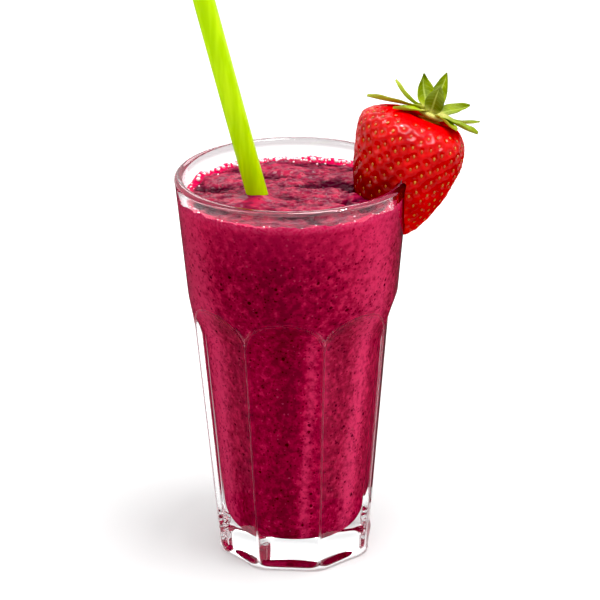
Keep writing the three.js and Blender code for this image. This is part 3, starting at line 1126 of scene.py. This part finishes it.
@dataclass(frozen=True)
class Crease:
    """One bowed furrow in the drink's surface, long along X."""

    x: float
    y: float
    half_length: float
    half_width: float
    depth: float
    bow: float = 1.6
    bow_run: float = 4.0


@dataclass(frozen=True)
class PaintedLightBand:
    """A stretch of the drink with painted light, or with painted shade where its strength is negative.

    Its azimuth and width are in degrees, and it shows between two heights.
    """

    azimuth: float
    width: float
    strength: float
    low: float = -10.0
    high: float = 160.0


@dataclass(frozen=True)
class Drink:
    """The smoothie, whose skin reaches just into the glass wall."""

    glass: Tumbler
    straw: Straw
    level: float = 143.6
    into_wall: float = 0.25
    foam_rise: float = 0.9
    foam_width: float = 3.0
    swells: tuple[Swell, ...] = (
        Swell(math.radians(70), 19, 0.34),
        Swell(math.radians(102), 11, 0.22),
        Swell(math.radians(20), 27, 0.26),
    )
    creases: tuple[Crease, ...] = (Crease(-25, 7, 8, 2.4, 1.3), Crease(11, 8, 11, 2.8, 1.5))
    ripples: tuple[Lumps, ...] = (Lumps(6.5, 0.7, 3, 3.1), Lumps(2.1, 0.35, 2, 8.7))
    ripple_stretch: float = 1.6
    meniscus_height: float = 1.9
    meniscus_reach: float = 2.2
    calm_share: float = 0.75
    calm_reach: float = 7.0
    # Upright bands of painted light and painted shade round the drink.
    painted_light_bands: tuple[PaintedLightBand, ...] = (
        PaintedLightBand(-7, 15, -0.7),
        PaintedLightBand(13, 8, 0.8, high=102.0),
        PaintedLightBand(35, 12, 0.3, low=104.0),
        PaintedLightBand(-58, 13, 0.5, low=104.0),
        PaintedLightBand(-78, 22, 1.2),
        PaintedLightBand(57, 15, 1.0),
    )
    light_band_fade: float = 6.0
    light_band_waver: float = 0.06
    light_band_waver_run: float = 17.0
    row_bubbles: int = 34
    row_spacing: float = 3.0
    row_waver: float = 0.4
    row_sizes: Range = (0.6, 0.9)
    row_insets: Range = (0.3, 0.9)
    bubble_count: int = 200
    far_spread: float = 0.55
    smallest_bubble: float = 0.2
    far_bubble: float = 0.5
    near_bubble: float = 0.4
    far_inset: float = 1.1
    near_inset: float = 0.7
    bubble_lift: float = 0.25
    bubble_steps: int = 14
    bubble_rings: int = 8
    bubble_cap: Range = (0.2, 2.94)
    steps: int = 320
    top_start: float = 2.0
    wall_rings: int = 90
    top_rings: int = 150
    top_middle: float = 0.004

    @property
    def edge(self) -> float:
        """The radius at which the surface meets the glass."""
        return float(self.glass.cavity_radius(self.level))

    def relief(self, x: np.ndarray, y: np.ndarray) -> np.ndarray:
        """The height of the surface above its level, as the solid has it.

        Args:
            x: Places along X.
            y: Places along Y.

        Returns:
            A height for each place.
        """
        total = self.foam_rise * smoothstep(np.hypot(x, y), self.edge - self.foam_width, self.edge)
        for swell in self.swells:
            along = x * math.cos(swell.turn) + y * math.sin(swell.turn)
            total = total + swell.height * np.sin(2 * math.pi * along / swell.length)
        for crease in self.creases:
            along = x - crease.x
            across = y - crease.y - crease.bow * np.sin(along / crease.bow_run)
            spread = (along / crease.half_length) ** 2 + (across / crease.half_width) ** 2
            total = total - crease.depth * np.exp(-spread)
        return total

    def surface(self, x: np.ndarray, y: np.ndarray) -> np.ndarray:
        """The height of the surface above its level, with its fine ripples and the rise at the straw.

        Args:
            x: Places along X.
            y: Places along Y.

        Returns:
            A height for each place.
        """
        flat = np.stack([x, y * self.ripple_stretch, np.zeros_like(x)], -1)
        ripples = sum(lumps.height_at(flat) for lumps in self.ripples)
        straw_x, straw_y = self.straw.axis_at(self.level)
        gap = np.maximum(np.hypot(x - straw_x, y - straw_y) - self.straw.radius, 0)
        meniscus = self.meniscus_height * np.exp(-gap / self.meniscus_reach)
        return self.relief(x, y) + ripples * (1 - self.calm_share * hill(gap, self.calm_reach)) + meniscus

    def build(self) -> bpy.types.Object:
        """Builds the body of the drink and its surface."""
        around = azimuths(self.steps)
        glass = self.glass
        profile = glass.floor_profile(self.into_wall)
        for z in np.linspace(glass.floor_top, self.level - self.top_start, self.wall_rings)[1:]:
            profile.append((glass.cavity_radius(z) + self.into_wall, z))
        rings = lathe(around, profile)
        below = len(rings) * self.steps
        heights = []
        for share in np.linspace(1, self.top_middle, self.top_rings):
            flat = ring(around, (self.edge + self.into_wall) * share, 0.0)
            heights.append(self.surface(flat[:, 0], flat[:, 1]))
            flat[:, 2] = self.level + heights[-1]
            rings.append(flat)
        data = MeshData.loft(rings)
        top = np.zeros(len(data.vertices))
        top[below:] = 1
        top[-2] = 0
        relief = np.concatenate([np.zeros(below), *heights, [0, heights[-1].mean()]])
        data.numbers = {"relief": relief, "top": top, "tone": self.tone(data.vertices)}
        return data.to_object("smoothie_body")

    def tone(self, places: np.ndarray) -> np.ndarray:
        """The painted light on the blend, which is painted shade where it is negative.

        Args:
            places: An array with a row for each place.

        Returns:
            A number for each place, positive where light is painted and negative where shade is painted.
        """
        x, y, z = places.T
        azimuth = np.arctan2(x, -y) + self.light_band_waver * np.sin(z / self.light_band_waver_run)
        total = np.zeros(len(places))
        for band in self.painted_light_bands:
            shown = smoothstep(z, band.low - self.light_band_fade, band.low + self.light_band_fade)
            shown = shown * smoothstep(z, band.high + self.light_band_fade, band.high - self.light_band_fade)
            offset = azimuth - math.radians(band.azimuth)
            total += band.strength * shown * hill(offset, math.radians(band.width))
        return total

    def bubble_places(self) -> list[Place]:
        """Azimuth, distance from the wall and radius of each bubble of the froth."""
        random = np.random.default_rng(RANDOM_SEED)
        places = []
        for i in range(self.row_bubbles):
            along = (i - self.row_bubbles / 2) * self.row_spacing + random.normal(0, self.row_waver)
            size = random.uniform(*self.row_sizes)
            places.append((math.pi + along / self.edge, size + random.uniform(*self.row_insets), size))
        for i in range(self.bubble_count):
            far = i % 2 == 0
            if far:
                azimuth = math.pi + random.normal(0, self.far_spread)
            else:
                azimuth = random.uniform(0, 2 * math.pi)
            size = random.uniform(self.smallest_bubble, self.far_bubble if far else self.near_bubble)
            inset = size + random.exponential(self.far_inset if far else self.near_inset)
            places.append((azimuth, inset, size))
        return places

    def build_bubbles(self) -> bpy.types.Object:
        """Builds the bubbles along the wall as small caps that sit in the surface."""
        around = azimuths(self.bubble_steps)
        turns = np.linspace(*self.bubble_cap, self.bubble_rings)
        parts = []
        for azimuth, inset, size in self.bubble_places():
            x, y, _ = ring(azimuth, self.edge - inset, 0.0)
            height = self.surface(np.array([x]), np.array([y]))[0]
            cap = MeshData.loft(lathe(around, [(size * math.sin(a), -size * math.cos(a)) for a in turns]))
            at = Vector((x, y, self.level + height + self.bubble_lift * size))
            parts.append(cap.moved(Matrix.Translation(at)))
        return MeshData.joined(parts).to_object("froth_bubbles")


@dataclass(frozen=True)
class Ribbing:
    """Soft ribs along the strawberry: their share of its radius, number, phase and twist."""

    height: float
    count: int
    phase: float
    twist: float


@dataclass(frozen=True)
class Strawberry:
    """The strawberry on the rim: a bent, slightly square body with dimples and seeds, and a slit."""

    glass: Tumbler
    tip: Place = (42.6, 4.0, 125.0)
    length: float = 48.1
    radius: float = 20.7
    widest: float = 0.727
    bend: float = math.radians(10.3)
    back_tilt: float = math.radians(8.6)
    squareness: float = 2.68
    tip_fullness: float = 2.7
    tip_power: float = 0.8
    shoulder_power: float = 2.6
    full_azimuth: float = math.radians(-60)
    full_share: float = 0.7
    ribs: tuple[Ribbing, ...] = (Ribbing(0.018, 3, 1.1, 0.0), Ribbing(0.012, 5, 0.0, 4.0))
    crown_slant: float = 0.222
    crown_shift: float = 5.6
    crown_dimple: float = 1.8
    crown_hollow: Range = (0.97, 1.0)
    feeler: Range = (0.02, 0.004)
    gap: float = 0.3
    slit_run: float = 1.6
    slit_lean: float = 0.6
    slit_width: float = 0.9
    slit_depth: float = 10.0
    slit_steps: int = 256
    slit_arc_steps: int = 21
    slit_wall_steps: int = 6
    seed_count: int = 400
    seed_span: Range = (0.02, 0.95)
    seed_power: float = 0.92
    seed_limits: Range = (0.01, 0.96)
    seed_length: float = 1.25
    seed_width: float = 0.8
    seed_flatness: float = 0.6
    seed_point: float = 0.25
    seed_cap: float = 0.25
    seed_steps: int = 10
    seed_rings: int = 7
    seed_sizes: Range = (0.85, 1.1)
    seed_sinks: Range = (0.38, 0.55)
    seed_jitter: float = 0.35
    seed_clearance: float = 1.0
    lip_clearance: float = 0.9
    bead_inset: float = 0.6
    dimple_depth: float = 0.8
    dimple_radius: float = 1.5
    calm_tip: Range = (0.0, 0.03)
    calm_crown: Range = (0.985, 0.95)
    lumps: Lumps = Lumps(5.0, 0.22, 2, 1.7)
    sharp_angle: float = math.radians(50)
    steps: int = 420
    ring_count: int = 200

    def to_world(self) -> Matrix:
        """The berry's own frame in the model, in millimetres."""
        return Matrix.Translation(self.tip) @ Matrix.Rotation(-self.back_tilt, 4, "X")

    def radius_at(self, azimuth: np.ndarray, share: np.ndarray) -> np.ndarray:
        """The smooth radius of the flesh.

        Args:
            azimuth: Azimuths about the berry's own axis.
            share: Shares of its length from the tip.

        Returns:
            A radius for each place.
        """
        power = self.squareness
        square = np.abs(np.cos(azimuth)) ** power + np.abs(np.sin(azimuth)) ** power
        widest = self.radius * square ** (-1 / power)
        fullness = self.tip_fullness * (1 + self.full_share * np.cos(azimuth - self.full_azimuth))
        low = (1 - np.clip(1 - share / self.widest, 0, 1) ** fullness) ** self.tip_power
        shoulder = np.clip((share - self.widest) / (1 - self.widest), 0, 1) ** self.shoulder_power
        high = np.sqrt(np.maximum(1 - shoulder, 0))
        return widest * np.where(share < self.widest, low, high)

    def point(self, azimuth: Number, share: Number) -> np.ndarray:
        """Points on the flesh in the berry's own frame, before the dimples.

        Args:
            azimuth: Azimuths about the berry's own axis.
            share: Shares of its length from the tip.

        Returns:
            An array with three numbers for each place.
        """
        azimuth, share = np.broadcast_arrays(np.asarray(azimuth, float), np.asarray(share, float))
        ribs = sum(rib.height * np.sin(rib.count * azimuth + rib.phase + rib.twist * share)
                   for rib in self.ribs)
        radius = self.radius_at(azimuth, share) * (1 + ribs * np.sin(math.pi * np.clip(share, 0, 1)))
        crown = np.maximum((share - self.widest) / (1 - self.widest), 0)
        x = radius * np.sin(azimuth) + self.crown_shift * crown ** 2
        slant = self.crown_slant * x * np.minimum(share / self.widest, 1) ** 2
        z = share * self.length - slant - self.crown_dimple * smoothstep(share, *self.crown_hollow)
        angle = self.bend * z / self.length
        reach = self.length / self.bend
        return np.stack([reach - (reach - x) * np.cos(angle), -radius * np.cos(azimuth),
                         (reach - x) * np.sin(angle)], -1)

    def frame_at(self, azimuth: Number, share: Number) -> tuple[np.ndarray, np.ndarray, np.ndarray]:
        """Places on the flesh with the outward and the tip-to-crown directions there.

        Args:
            azimuth: Azimuths about the berry's own axis.
            share: Shares of its length from the tip.

        Returns:
            The places, the outward directions and the directions towards the crown.
        """
        at = self.point(azimuth, share)
        across = self.point(azimuth + self.feeler[0], share) - at
        along = self.point(azimuth, share + self.feeler[1]) - at
        out = np.cross(across, along)
        out /= np.linalg.norm(out, axis=-1, keepdims=True) + TINY
        along /= np.linalg.norm(along, axis=-1, keepdims=True) + TINY
        return at, out, along

    def seed_frames(self) -> tuple[np.ndarray, np.ndarray, np.ndarray]:
        """The place, outward and crownward directions of every seed, on a spiral up the berry."""
        index = np.arange(self.seed_count)
        share = lerp(*self.seed_span, (index + 0.5) / self.seed_count) ** self.seed_power
        random = np.random.default_rng(RANDOM_SEED)
        shift = self.seed_jitter * random.normal(size=(2, self.seed_count))
        turn = index * GOLDEN_ANGLE + shift[0] / self.radius
        return self.frame_at(turn, np.clip(share + shift[1] / self.length, *self.seed_limits))

    def slit_cutter(self) -> MeshData:
        """The wall with a gap round it, and a narrow cut that runs on above the lip."""
        glass = self.glass
        arc = glass.lip_arc(self.gap, self.slit_arc_steps)
        crest = len(arc) // 2
        x, z = arc[crest]
        arc[crest - 1:crest + 2] = [
            (x + self.slit_width / 2, z - self.gap / 2),
            (x + self.slit_lean, z + self.slit_run),
            (x - self.slit_width / 2, z - self.gap / 2),
        ]
        low, high = self.tip[2] - self.slit_depth, glass.bead_low
        profile = [(glass.body_radius(high) + self.gap, high), *arc]
        for z in np.linspace(high, low, self.slit_wall_steps):
            profile.append((glass.cavity_radius(z) - self.gap, z))
        profile.append((glass.body_radius(low) + self.gap, low))
        return MeshData.loft(lathe(azimuths(self.slit_steps), profile), Shape.LOOP)

    def build_flesh(self) -> bpy.types.Object:
        """Builds the dimpled flesh and cuts the slit."""
        turn = np.linspace(0, math.pi, self.ring_count)[1:-1]
        azimuth, share = np.meshgrid(azimuths(self.steps), 0.5 - 0.5 * np.cos(turn))
        at, out, _ = self.frame_at(azimuth, share)
        seeds, _, _ = self.seed_frames()
        tree = kdtree.KDTree(len(seeds))
        for i, seed in enumerate(seeds):
            tree.insert(Vector(seed), i)
        tree.balance()
        near = np.array([tree.find(Vector(p))[2] for p in at.reshape(-1, 3)]).reshape(share.shape)
        well = hill(near, self.dimple_radius)
        calm = smoothstep(share, *self.calm_tip) * smoothstep(share, *self.calm_crown)
        height = (self.lumps.height_at(at) - self.dimple_depth * well) * calm
        data = MeshData.loft(list(at + out * height[..., None]))
        data.numbers = {
            "dimple": np.concatenate([(well * calm).ravel(), [0.0, 0.0]]),
            "crown": np.concatenate([share.ravel(), [0.0, 1.0]]),
        }
        berry = data.moved(self.to_world()).to_object("strawberry_body")
        cutter = self.slit_cutter().to_object("slit_cutter")
        modifier = berry.modifiers.new("slit", "BOOLEAN")
        modifier.object = cutter
        modifier.operation = "DIFFERENCE"
        modifier.solver = "MANIFOLD"
        with bpy.context.temp_override(object=berry, active_object=berry):
            bpy.ops.object.modifier_apply(modifier="slit")
        bpy.data.objects.remove(cutter)
        berry.data.set_sharp_from_angle(angle=self.sharp_angle)
        berry.data.materials.clear()
        return berry

    def seed_is_clear(self, place: np.ndarray) -> bool:
        """True where a seed in the model stays clear of the glass wall.

        Args:
            place: The seed's place in the model.

        Returns:
            Whether it is kept.
        """
        x, y, z = place
        if z > self.glass.height + self.lip_clearance:
            return True
        radius = math.hypot(x, y)
        outside = max(self.glass.body_radius(z), self.glass.rim_radius - self.bead_inset)
        inside = self.glass.cavity_radius(z)
        return radius > outside + self.seed_clearance or radius < inside - self.seed_clearance

    def build_seeds(self) -> bpy.types.Object:
        """Builds the seeds, each at the bottom of its dimple with its point towards the tip."""
        around = azimuths(self.seed_steps)
        profile = []
        for angle in np.linspace(self.seed_cap, math.pi - self.seed_cap, self.seed_rings):
            z = -math.cos(angle)
            girth = math.sin(angle) * (1 + self.seed_point * z)
            profile.append((0.5 * self.seed_width * girth, 0.5 * self.seed_length * z))
        seed = MeshData.loft([rim * (1, self.seed_flatness, 1) for rim in lathe(around, profile)])
        random = np.random.default_rng(RANDOM_SEED)
        to_world = self.to_world()
        parts = []
        for at, out, along in zip(*self.seed_frames()):
            size = random.uniform(*self.seed_sizes)
            sink = random.uniform(*self.seed_sinks)
            if not self.seed_is_clear(placed(at, to_world)):
                continue
            side = np.cross(along, out)
            turn = np.eye(4)
            turn[:3] = np.stack([side * size, -out * size, along * size, at - out * sink], 1)
            parts.append(seed.moved(to_world @ Matrix(turn)))
        return MeshData.joined(parts).to_object("strawberry_seeds")


@dataclass(frozen=True)
class Sepal:
    """One pointed leaf of the cap. Angles are in degrees and azimuth is about the berry's axis.

    Its shade is painted shade, from 0 for a lit leaf to 1 for a dark one.
    """

    azimuth: float
    length: float
    width: float
    rise: float
    curl: float
    twist: float
    # painted shade: how far the leaf is painted darker, as if out of the light
    shade: float = 0.0


@dataclass(frozen=True)
class LeafCap:
    """The cap of leaves on the strawberry's crown."""

    berry: Strawberry
    hub_radius: float = 5.2
    hub_shape: tuple[Range, ...] = (
        (0.5, -0.8), (0.8, -0.8), (0.97, -0.2), (1.0, 0.3), (0.9, 1.04), (0.7, 1.3),
    )
    stalk: tuple[Range, ...] = ((1.4, 1.3), (1.1, 2.3), (0.7, 2.5))
    hub_steps: int = 48
    rise: float = 1.5
    thickness: float = 0.5
    edge_thinning: float = 0.6
    tip_thinning: float = 0.4
    outline: Range = (0.16, 0.985)
    outline_power: float = 0.85
    tip_half_share: float = 0.03
    cup: float = 0.16
    rib_depth: float = 0.12
    rib_width: float = 0.12
    wave_height: float = 0.25
    wave_rate: Range = (7.0, 2.0)
    flutter_height: float = 0.12
    flutter_rate: float = 17.0
    twist_start: float = 0.5
    root_share: float = 0.55
    root_height: float = 0.78
    rows: int = 30
    columns: int = 12
    sepals: tuple[Sepal, ...] = (
        Sepal(-93, 22.5, 6.0, -3, -6, 20),
        Sepal(-112, 15.5, 5.0, -1, 20, 40),
        Sepal(-130, 14.1, 8.2, 51, 4, -30, 0.15),
        Sepal(177, 17, 6.6, 60, 0, -24, 0.3),
        Sepal(-18, 11.3, 7.4, 68, 6, 6, 0.75),
        Sepal(128, 15.2, 6.4, 29, -4, 18, 0.3),
        Sepal(121, 19, 3.8, -8, 14, -10),
        Sepal(57, 18, 6.8, 4, -2, 8, 0.35),
        Sepal(-57, 15.5, 5.4, -5, -4, 8),
        Sepal(34, 14, 5.6, 1, -4, -6),
    )

    def to_world(self) -> Matrix:
        """The cap's own frame in the model, in millimetres."""
        berry = self.berry
        turn = Matrix.Rotation(berry.bend + math.atan(berry.crown_slant), 4, "Y")
        at = Vector(berry.point(0.0, 1.0))
        lift = turn @ Vector((0, 0, berry.gap + self.rise))
        return berry.to_world() @ Matrix.Translation(at + lift) @ turn

    def blade(self, sepal: Sepal) -> MeshData:
        """Builds one sepal as a thin wavy blade.

        Args:
            sepal: Its sizes.

        Returns:
            The blade in the cap's frame.
        """
        along, across = np.meshgrid(np.linspace(0, 1, self.rows), np.linspace(-1, 1, self.columns),
                                    indexing="ij")
        swell = np.sin(math.pi * lerp(*self.outline, along ** self.outline_power))
        y = sepal.width / 2 * np.maximum(swell, self.tip_half_share) * across
        turn = math.radians(sepal.twist) * lerp(self.twist_start, 1, along)
        lift = sepal.length * math.tan(math.radians(sepal.curl)) * along ** 2
        ripple = self.wave_height * np.sin(self.wave_rate[0] * along + self.wave_rate[1] * across)
        ripple += self.flutter_height * np.sin(self.flutter_rate * along) * across
        cup = self.cup * sepal.width * across ** 2
        middle = cup + ripple - self.rib_depth * hill(across, self.rib_width)
        taper = lerp(1, self.tip_thinning, along)
        rounding = 1 - self.edge_thinning * across ** 2
        faces = []
        for side in (0.5, -0.5):
            z = middle + side * self.thickness * taper * rounding
            faces.append(np.stack([sepal.length * along, y * np.cos(turn) - z * np.sin(turn),
                                   lift + y * np.sin(turn) + z * np.cos(turn)], -1))
        data = MeshData.slab(*faces)
        data.numbers = {
            "along": np.tile(along.ravel(), 2),
            "across": np.tile(across.ravel(), 2),
            "under": np.repeat([0.0, 1.0], along.size),
            "shade": np.full(2 * along.size, sepal.shade),
        }
        turn_out = Matrix.Rotation(math.radians(sepal.azimuth - 90), 4, "Z")
        step = Matrix.Translation((self.hub_radius * self.root_share, 0, self.root_height))
        return data.moved(turn_out @ step @ Matrix.Rotation(-math.radians(sepal.rise), 4, "Y"))

    def hub(self) -> MeshData:
        """Builds the small disc that the sepals grow from."""
        profile = [*((self.hub_radius * share, z) for share, z in self.hub_shape), *self.stalk]
        data = MeshData.loft(lathe(azimuths(self.hub_steps), profile))
        count = len(data.vertices)
        data.numbers = {name: np.zeros(count) for name in ("along", "under", "shade")}
        data.numbers["across"] = np.ones(count)
        return data

    def build(self) -> bpy.types.Object:
        """Builds the cap."""
        parts = [self.hub(), *(self.blade(sepal) for sepal in self.sepals)]
        return MeshData.joined(parts).moved(self.to_world()).to_object("leaf_cap")


@dataclass(frozen=True)
class SkirtSector:
    """A stretch of the dark skirt round the foot, in degrees from the front, and how light it is."""

    start: float
    end: float
    shade: float


@dataclass(frozen=True)
class Softbox:
    """A soft area light, in metres, that points at the drink."""

    name: str
    place: Place
    size: Range
    power: float
    only_gloss: bool = False


@dataclass(frozen=True)
class Studio:
    """The white floor, the soft light and the camera, in metres."""

    camera_place: Place = (0.006763, -1.060, 0.5214)
    pitch: float = math.radians(21.662)
    yaw: float = math.radians(-0.222)
    roll: float = math.radians(-0.595)
    lens: float = 180.0
    sensor: float = 36.0
    clip: Range = (0.01, 50.0)
    floor_half: float = 8.0
    floor_drop: float = 0.0002
    target: Place = (0.0, 0.0, 0.08)
    softboxes: tuple[Softbox, ...] = (
        Softbox("key_light", (0.24, -0.12, 1.2), (0.5, 0.5), 14.0),
        Softbox("side_light", (0.62, -0.28, 1.05), (0.17, 0.17), 15.0, True),
        Softbox("fill_light", (-0.9, -0.35, 0.8), (0.5, 0.7), 3.0),
        Softbox("back_strip", (0.1, 0.9, 0.75), (1.1, 0.35), 5.0, True),
    )
    skirt_lift: float = 0.0005
    near_skirt: Range = (0.05, 0.19)
    far_skirt: Range = (0.19, 0.6)
    sectors: tuple[SkirtSector, ...] = (
        SkirtSector(-43, 23, 0.012),
        SkirtSector(45, 110, 0.06),
        SkirtSector(110, 230, 0.03),
        SkirtSector(230, 295, 0.045),
    )
    sector_steps: int = 24
    round_steps: int = 97
    far_shade: float = 0.03
    wall_radius: float = 0.045
    wall_height: float = 0.016
    wall_shade: float = 0.03
    room_dim: float = 0.5
    room_top: float = 0.5
    top_rise: Range = (0.0, 0.8)
    room_back: float = 0.4
    back_rise: Range = (-0.2, 0.8)
    backdrop: float = 1.2
    black_level: float = 0.01
    bounces: int = 24
    glossy_bounces: int = 12

    def build_floor(self) -> None:
        """Builds the floor just under the glass."""
        s = self.floor_half
        floor = add_mesh("floor", [(-s, -s, 0), (s, -s, 0), (s, s, 0), (-s, s, 0)], [(0, 1, 2, 3)])
        floor.location.z = -self.floor_drop
        floor.data.materials.append(PaperFloor().material())

    def build_card(self, name: str, edges: Sequence[np.ndarray], shade: float) -> None:
        """Adds a dark card that only mirrors show.

        Args:
            name: Its name.
            edges: The points along its two long edges, in metres.
            shade: How light it is, from 0 to 1.
        """
        count = len(edges[0])
        faces = [(i, i + 1, count + i + 1, count + i) for i in range(count - 1)]
        card = add_mesh(name, np.concatenate(edges).tolist(), faces)
        for ray in ("camera", "diffuse", "shadow", "transmission"):
            setattr(card, f"visible_{ray}", False)
        card.data.materials.append(DarkCard(shade).material())

    def build_cards(self) -> None:
        """Adds a dark skirt with narrow gaps round the foot, a full one beyond it, and a low wall."""
        lift = self.skirt_lift
        for number, sector in enumerate(self.sectors):
            turns = np.radians(np.linspace(sector.start, sector.end, self.sector_steps))
            edges = lathe(turns, [(reach, lift) for reach in self.near_skirt])
            self.build_card(f"near_skirt_{number}", edges, sector.shade)
        turns = np.linspace(0, 2 * math.pi, self.round_steps)
        skirt = lathe(turns, [(reach, lift) for reach in self.far_skirt])
        self.build_card("far_skirt", skirt, self.far_shade)
        wall = lathe(turns, [(self.wall_radius, z) for z in (lift, self.wall_height)])
        self.build_card("foot_wall", wall, self.wall_shade)

    def build_lights(self) -> None:
        """Adds the soft lights."""
        for box in self.softboxes:
            light = bpy.data.lights.new(box.name, "AREA")
            light.shape = "RECTANGLE"
            light.size, light.size_y = box.size
            light.energy = box.power
            lamp = add_object(box.name, light)
            lamp.visible_diffuse = not box.only_gloss
            lamp.location = box.place
            aim = Vector(self.target) - Vector(box.place)
            lamp.rotation_euler = aim.to_track_quat("-Z", "Y").to_euler()

    def build_world(self) -> None:
        """Adds the room: white where the camera looks, brighter above and behind than in front."""
        graph = Graph(bpy.data.worlds.new("studio"), "Background")
        _, y, z = graph.axes(graph.node("ShaderNodeTexCoord", output="Generated"))
        above = z.ramp(*self.top_rise) * self.room_top
        light = self.room_dim + above + y.ramp(*self.back_rise) * self.room_back
        seen = graph.node("ShaderNodeLightPath", output="Is Camera Ray")
        strength = light * (1 - seen) + seen * self.backdrop
        bpy.context.scene.world = graph.finish(Color=WHITE, Strength=strength)

    def build_camera(self) -> None:
        """Adds the camera at the photograph's viewing angle."""
        camera = bpy.data.cameras.new("camera")
        camera.sensor_width = self.sensor
        camera.lens = self.lens
        camera.clip_start, camera.clip_end = self.clip
        level = Vector((math.cos(self.yaw), -math.sin(self.yaw), 0))
        flat = math.cos(self.pitch)
        forward = Vector((math.sin(self.yaw) * flat, math.cos(self.yaw) * flat, -math.sin(self.pitch)))
        up = level.cross(forward)
        right = level * math.cos(self.roll) + up * math.sin(self.roll)
        up = up * math.cos(self.roll) - level * math.sin(self.roll)
        matrix = Matrix((right, up, -forward)).transposed().to_4x4()
        matrix.translation = self.camera_place
        eye = add_object("camera", camera)
        eye.matrix_world = matrix
        bpy.context.scene.camera = eye

    def set_render(self) -> None:
        """Sets how light bounces and how colours are shown."""
        scene = bpy.context.scene
        view = scene.view_settings
        view.view_transform = "Standard"
        view.use_curve_mapping = True
        view.curve_mapping.black_level = (self.black_level,) * 3
        view.curve_mapping.update()
        scene.cycles.use_denoising = True
        scene.cycles.max_bounces = self.bounces
        scene.cycles.transmission_bounces = self.bounces
        scene.cycles.glossy_bounces = self.glossy_bounces


def build_pieces() -> None:
    """Builds and dresses every piece of the drink."""
    glass = Tumbler()
    straw = Straw()
    drink = Drink(glass, straw)
    berry = Strawberry(glass)
    cap = LeafCap(berry)
    orders: list[tuple[Callable[[], bpy.types.Object], bpy.types.Material, Slot, tuple[str, ...]]] = [
        (glass.build, ClearGlass().material(), Slot.GLASS, ("glass",)),
        (drink.build, BlendedBerries().material(drink.level, drink.edge), Slot.DRINK, ("smoothie",)),
        (drink.build_bubbles, BubbleFilm().material(), Slot.DRINK, ()),
        (straw.build, LimePlastic().material(), Slot.STRAW, ("straw",)),
        (berry.build_flesh, BerryFlesh().material(), Slot.FLESH, ("strawberry",)),
        (berry.build_seeds, SeedSkin().material(), Slot.FLESH, ()),
        (cap.build, Leaf().material(), Slot.LEAF, ("strawberry_cap",)),
    ]
    for build, material, slot, nodes in orders:
        piece = dress(build(), material, slot, *nodes)
        LOG.info("%s: %d faces", piece.name, len(piece.data.polygons))


def main() -> None:
    """Builds the studio and the drink."""
    logging.basicConfig(level=logging.INFO)
    studio = Studio()
    studio.build_camera()
    studio.build_floor()
    studio.build_cards()
    studio.build_lights()
    studio.build_world()
    studio.set_render()
    build_pieces()


if __name__ == "__main__":
    main()
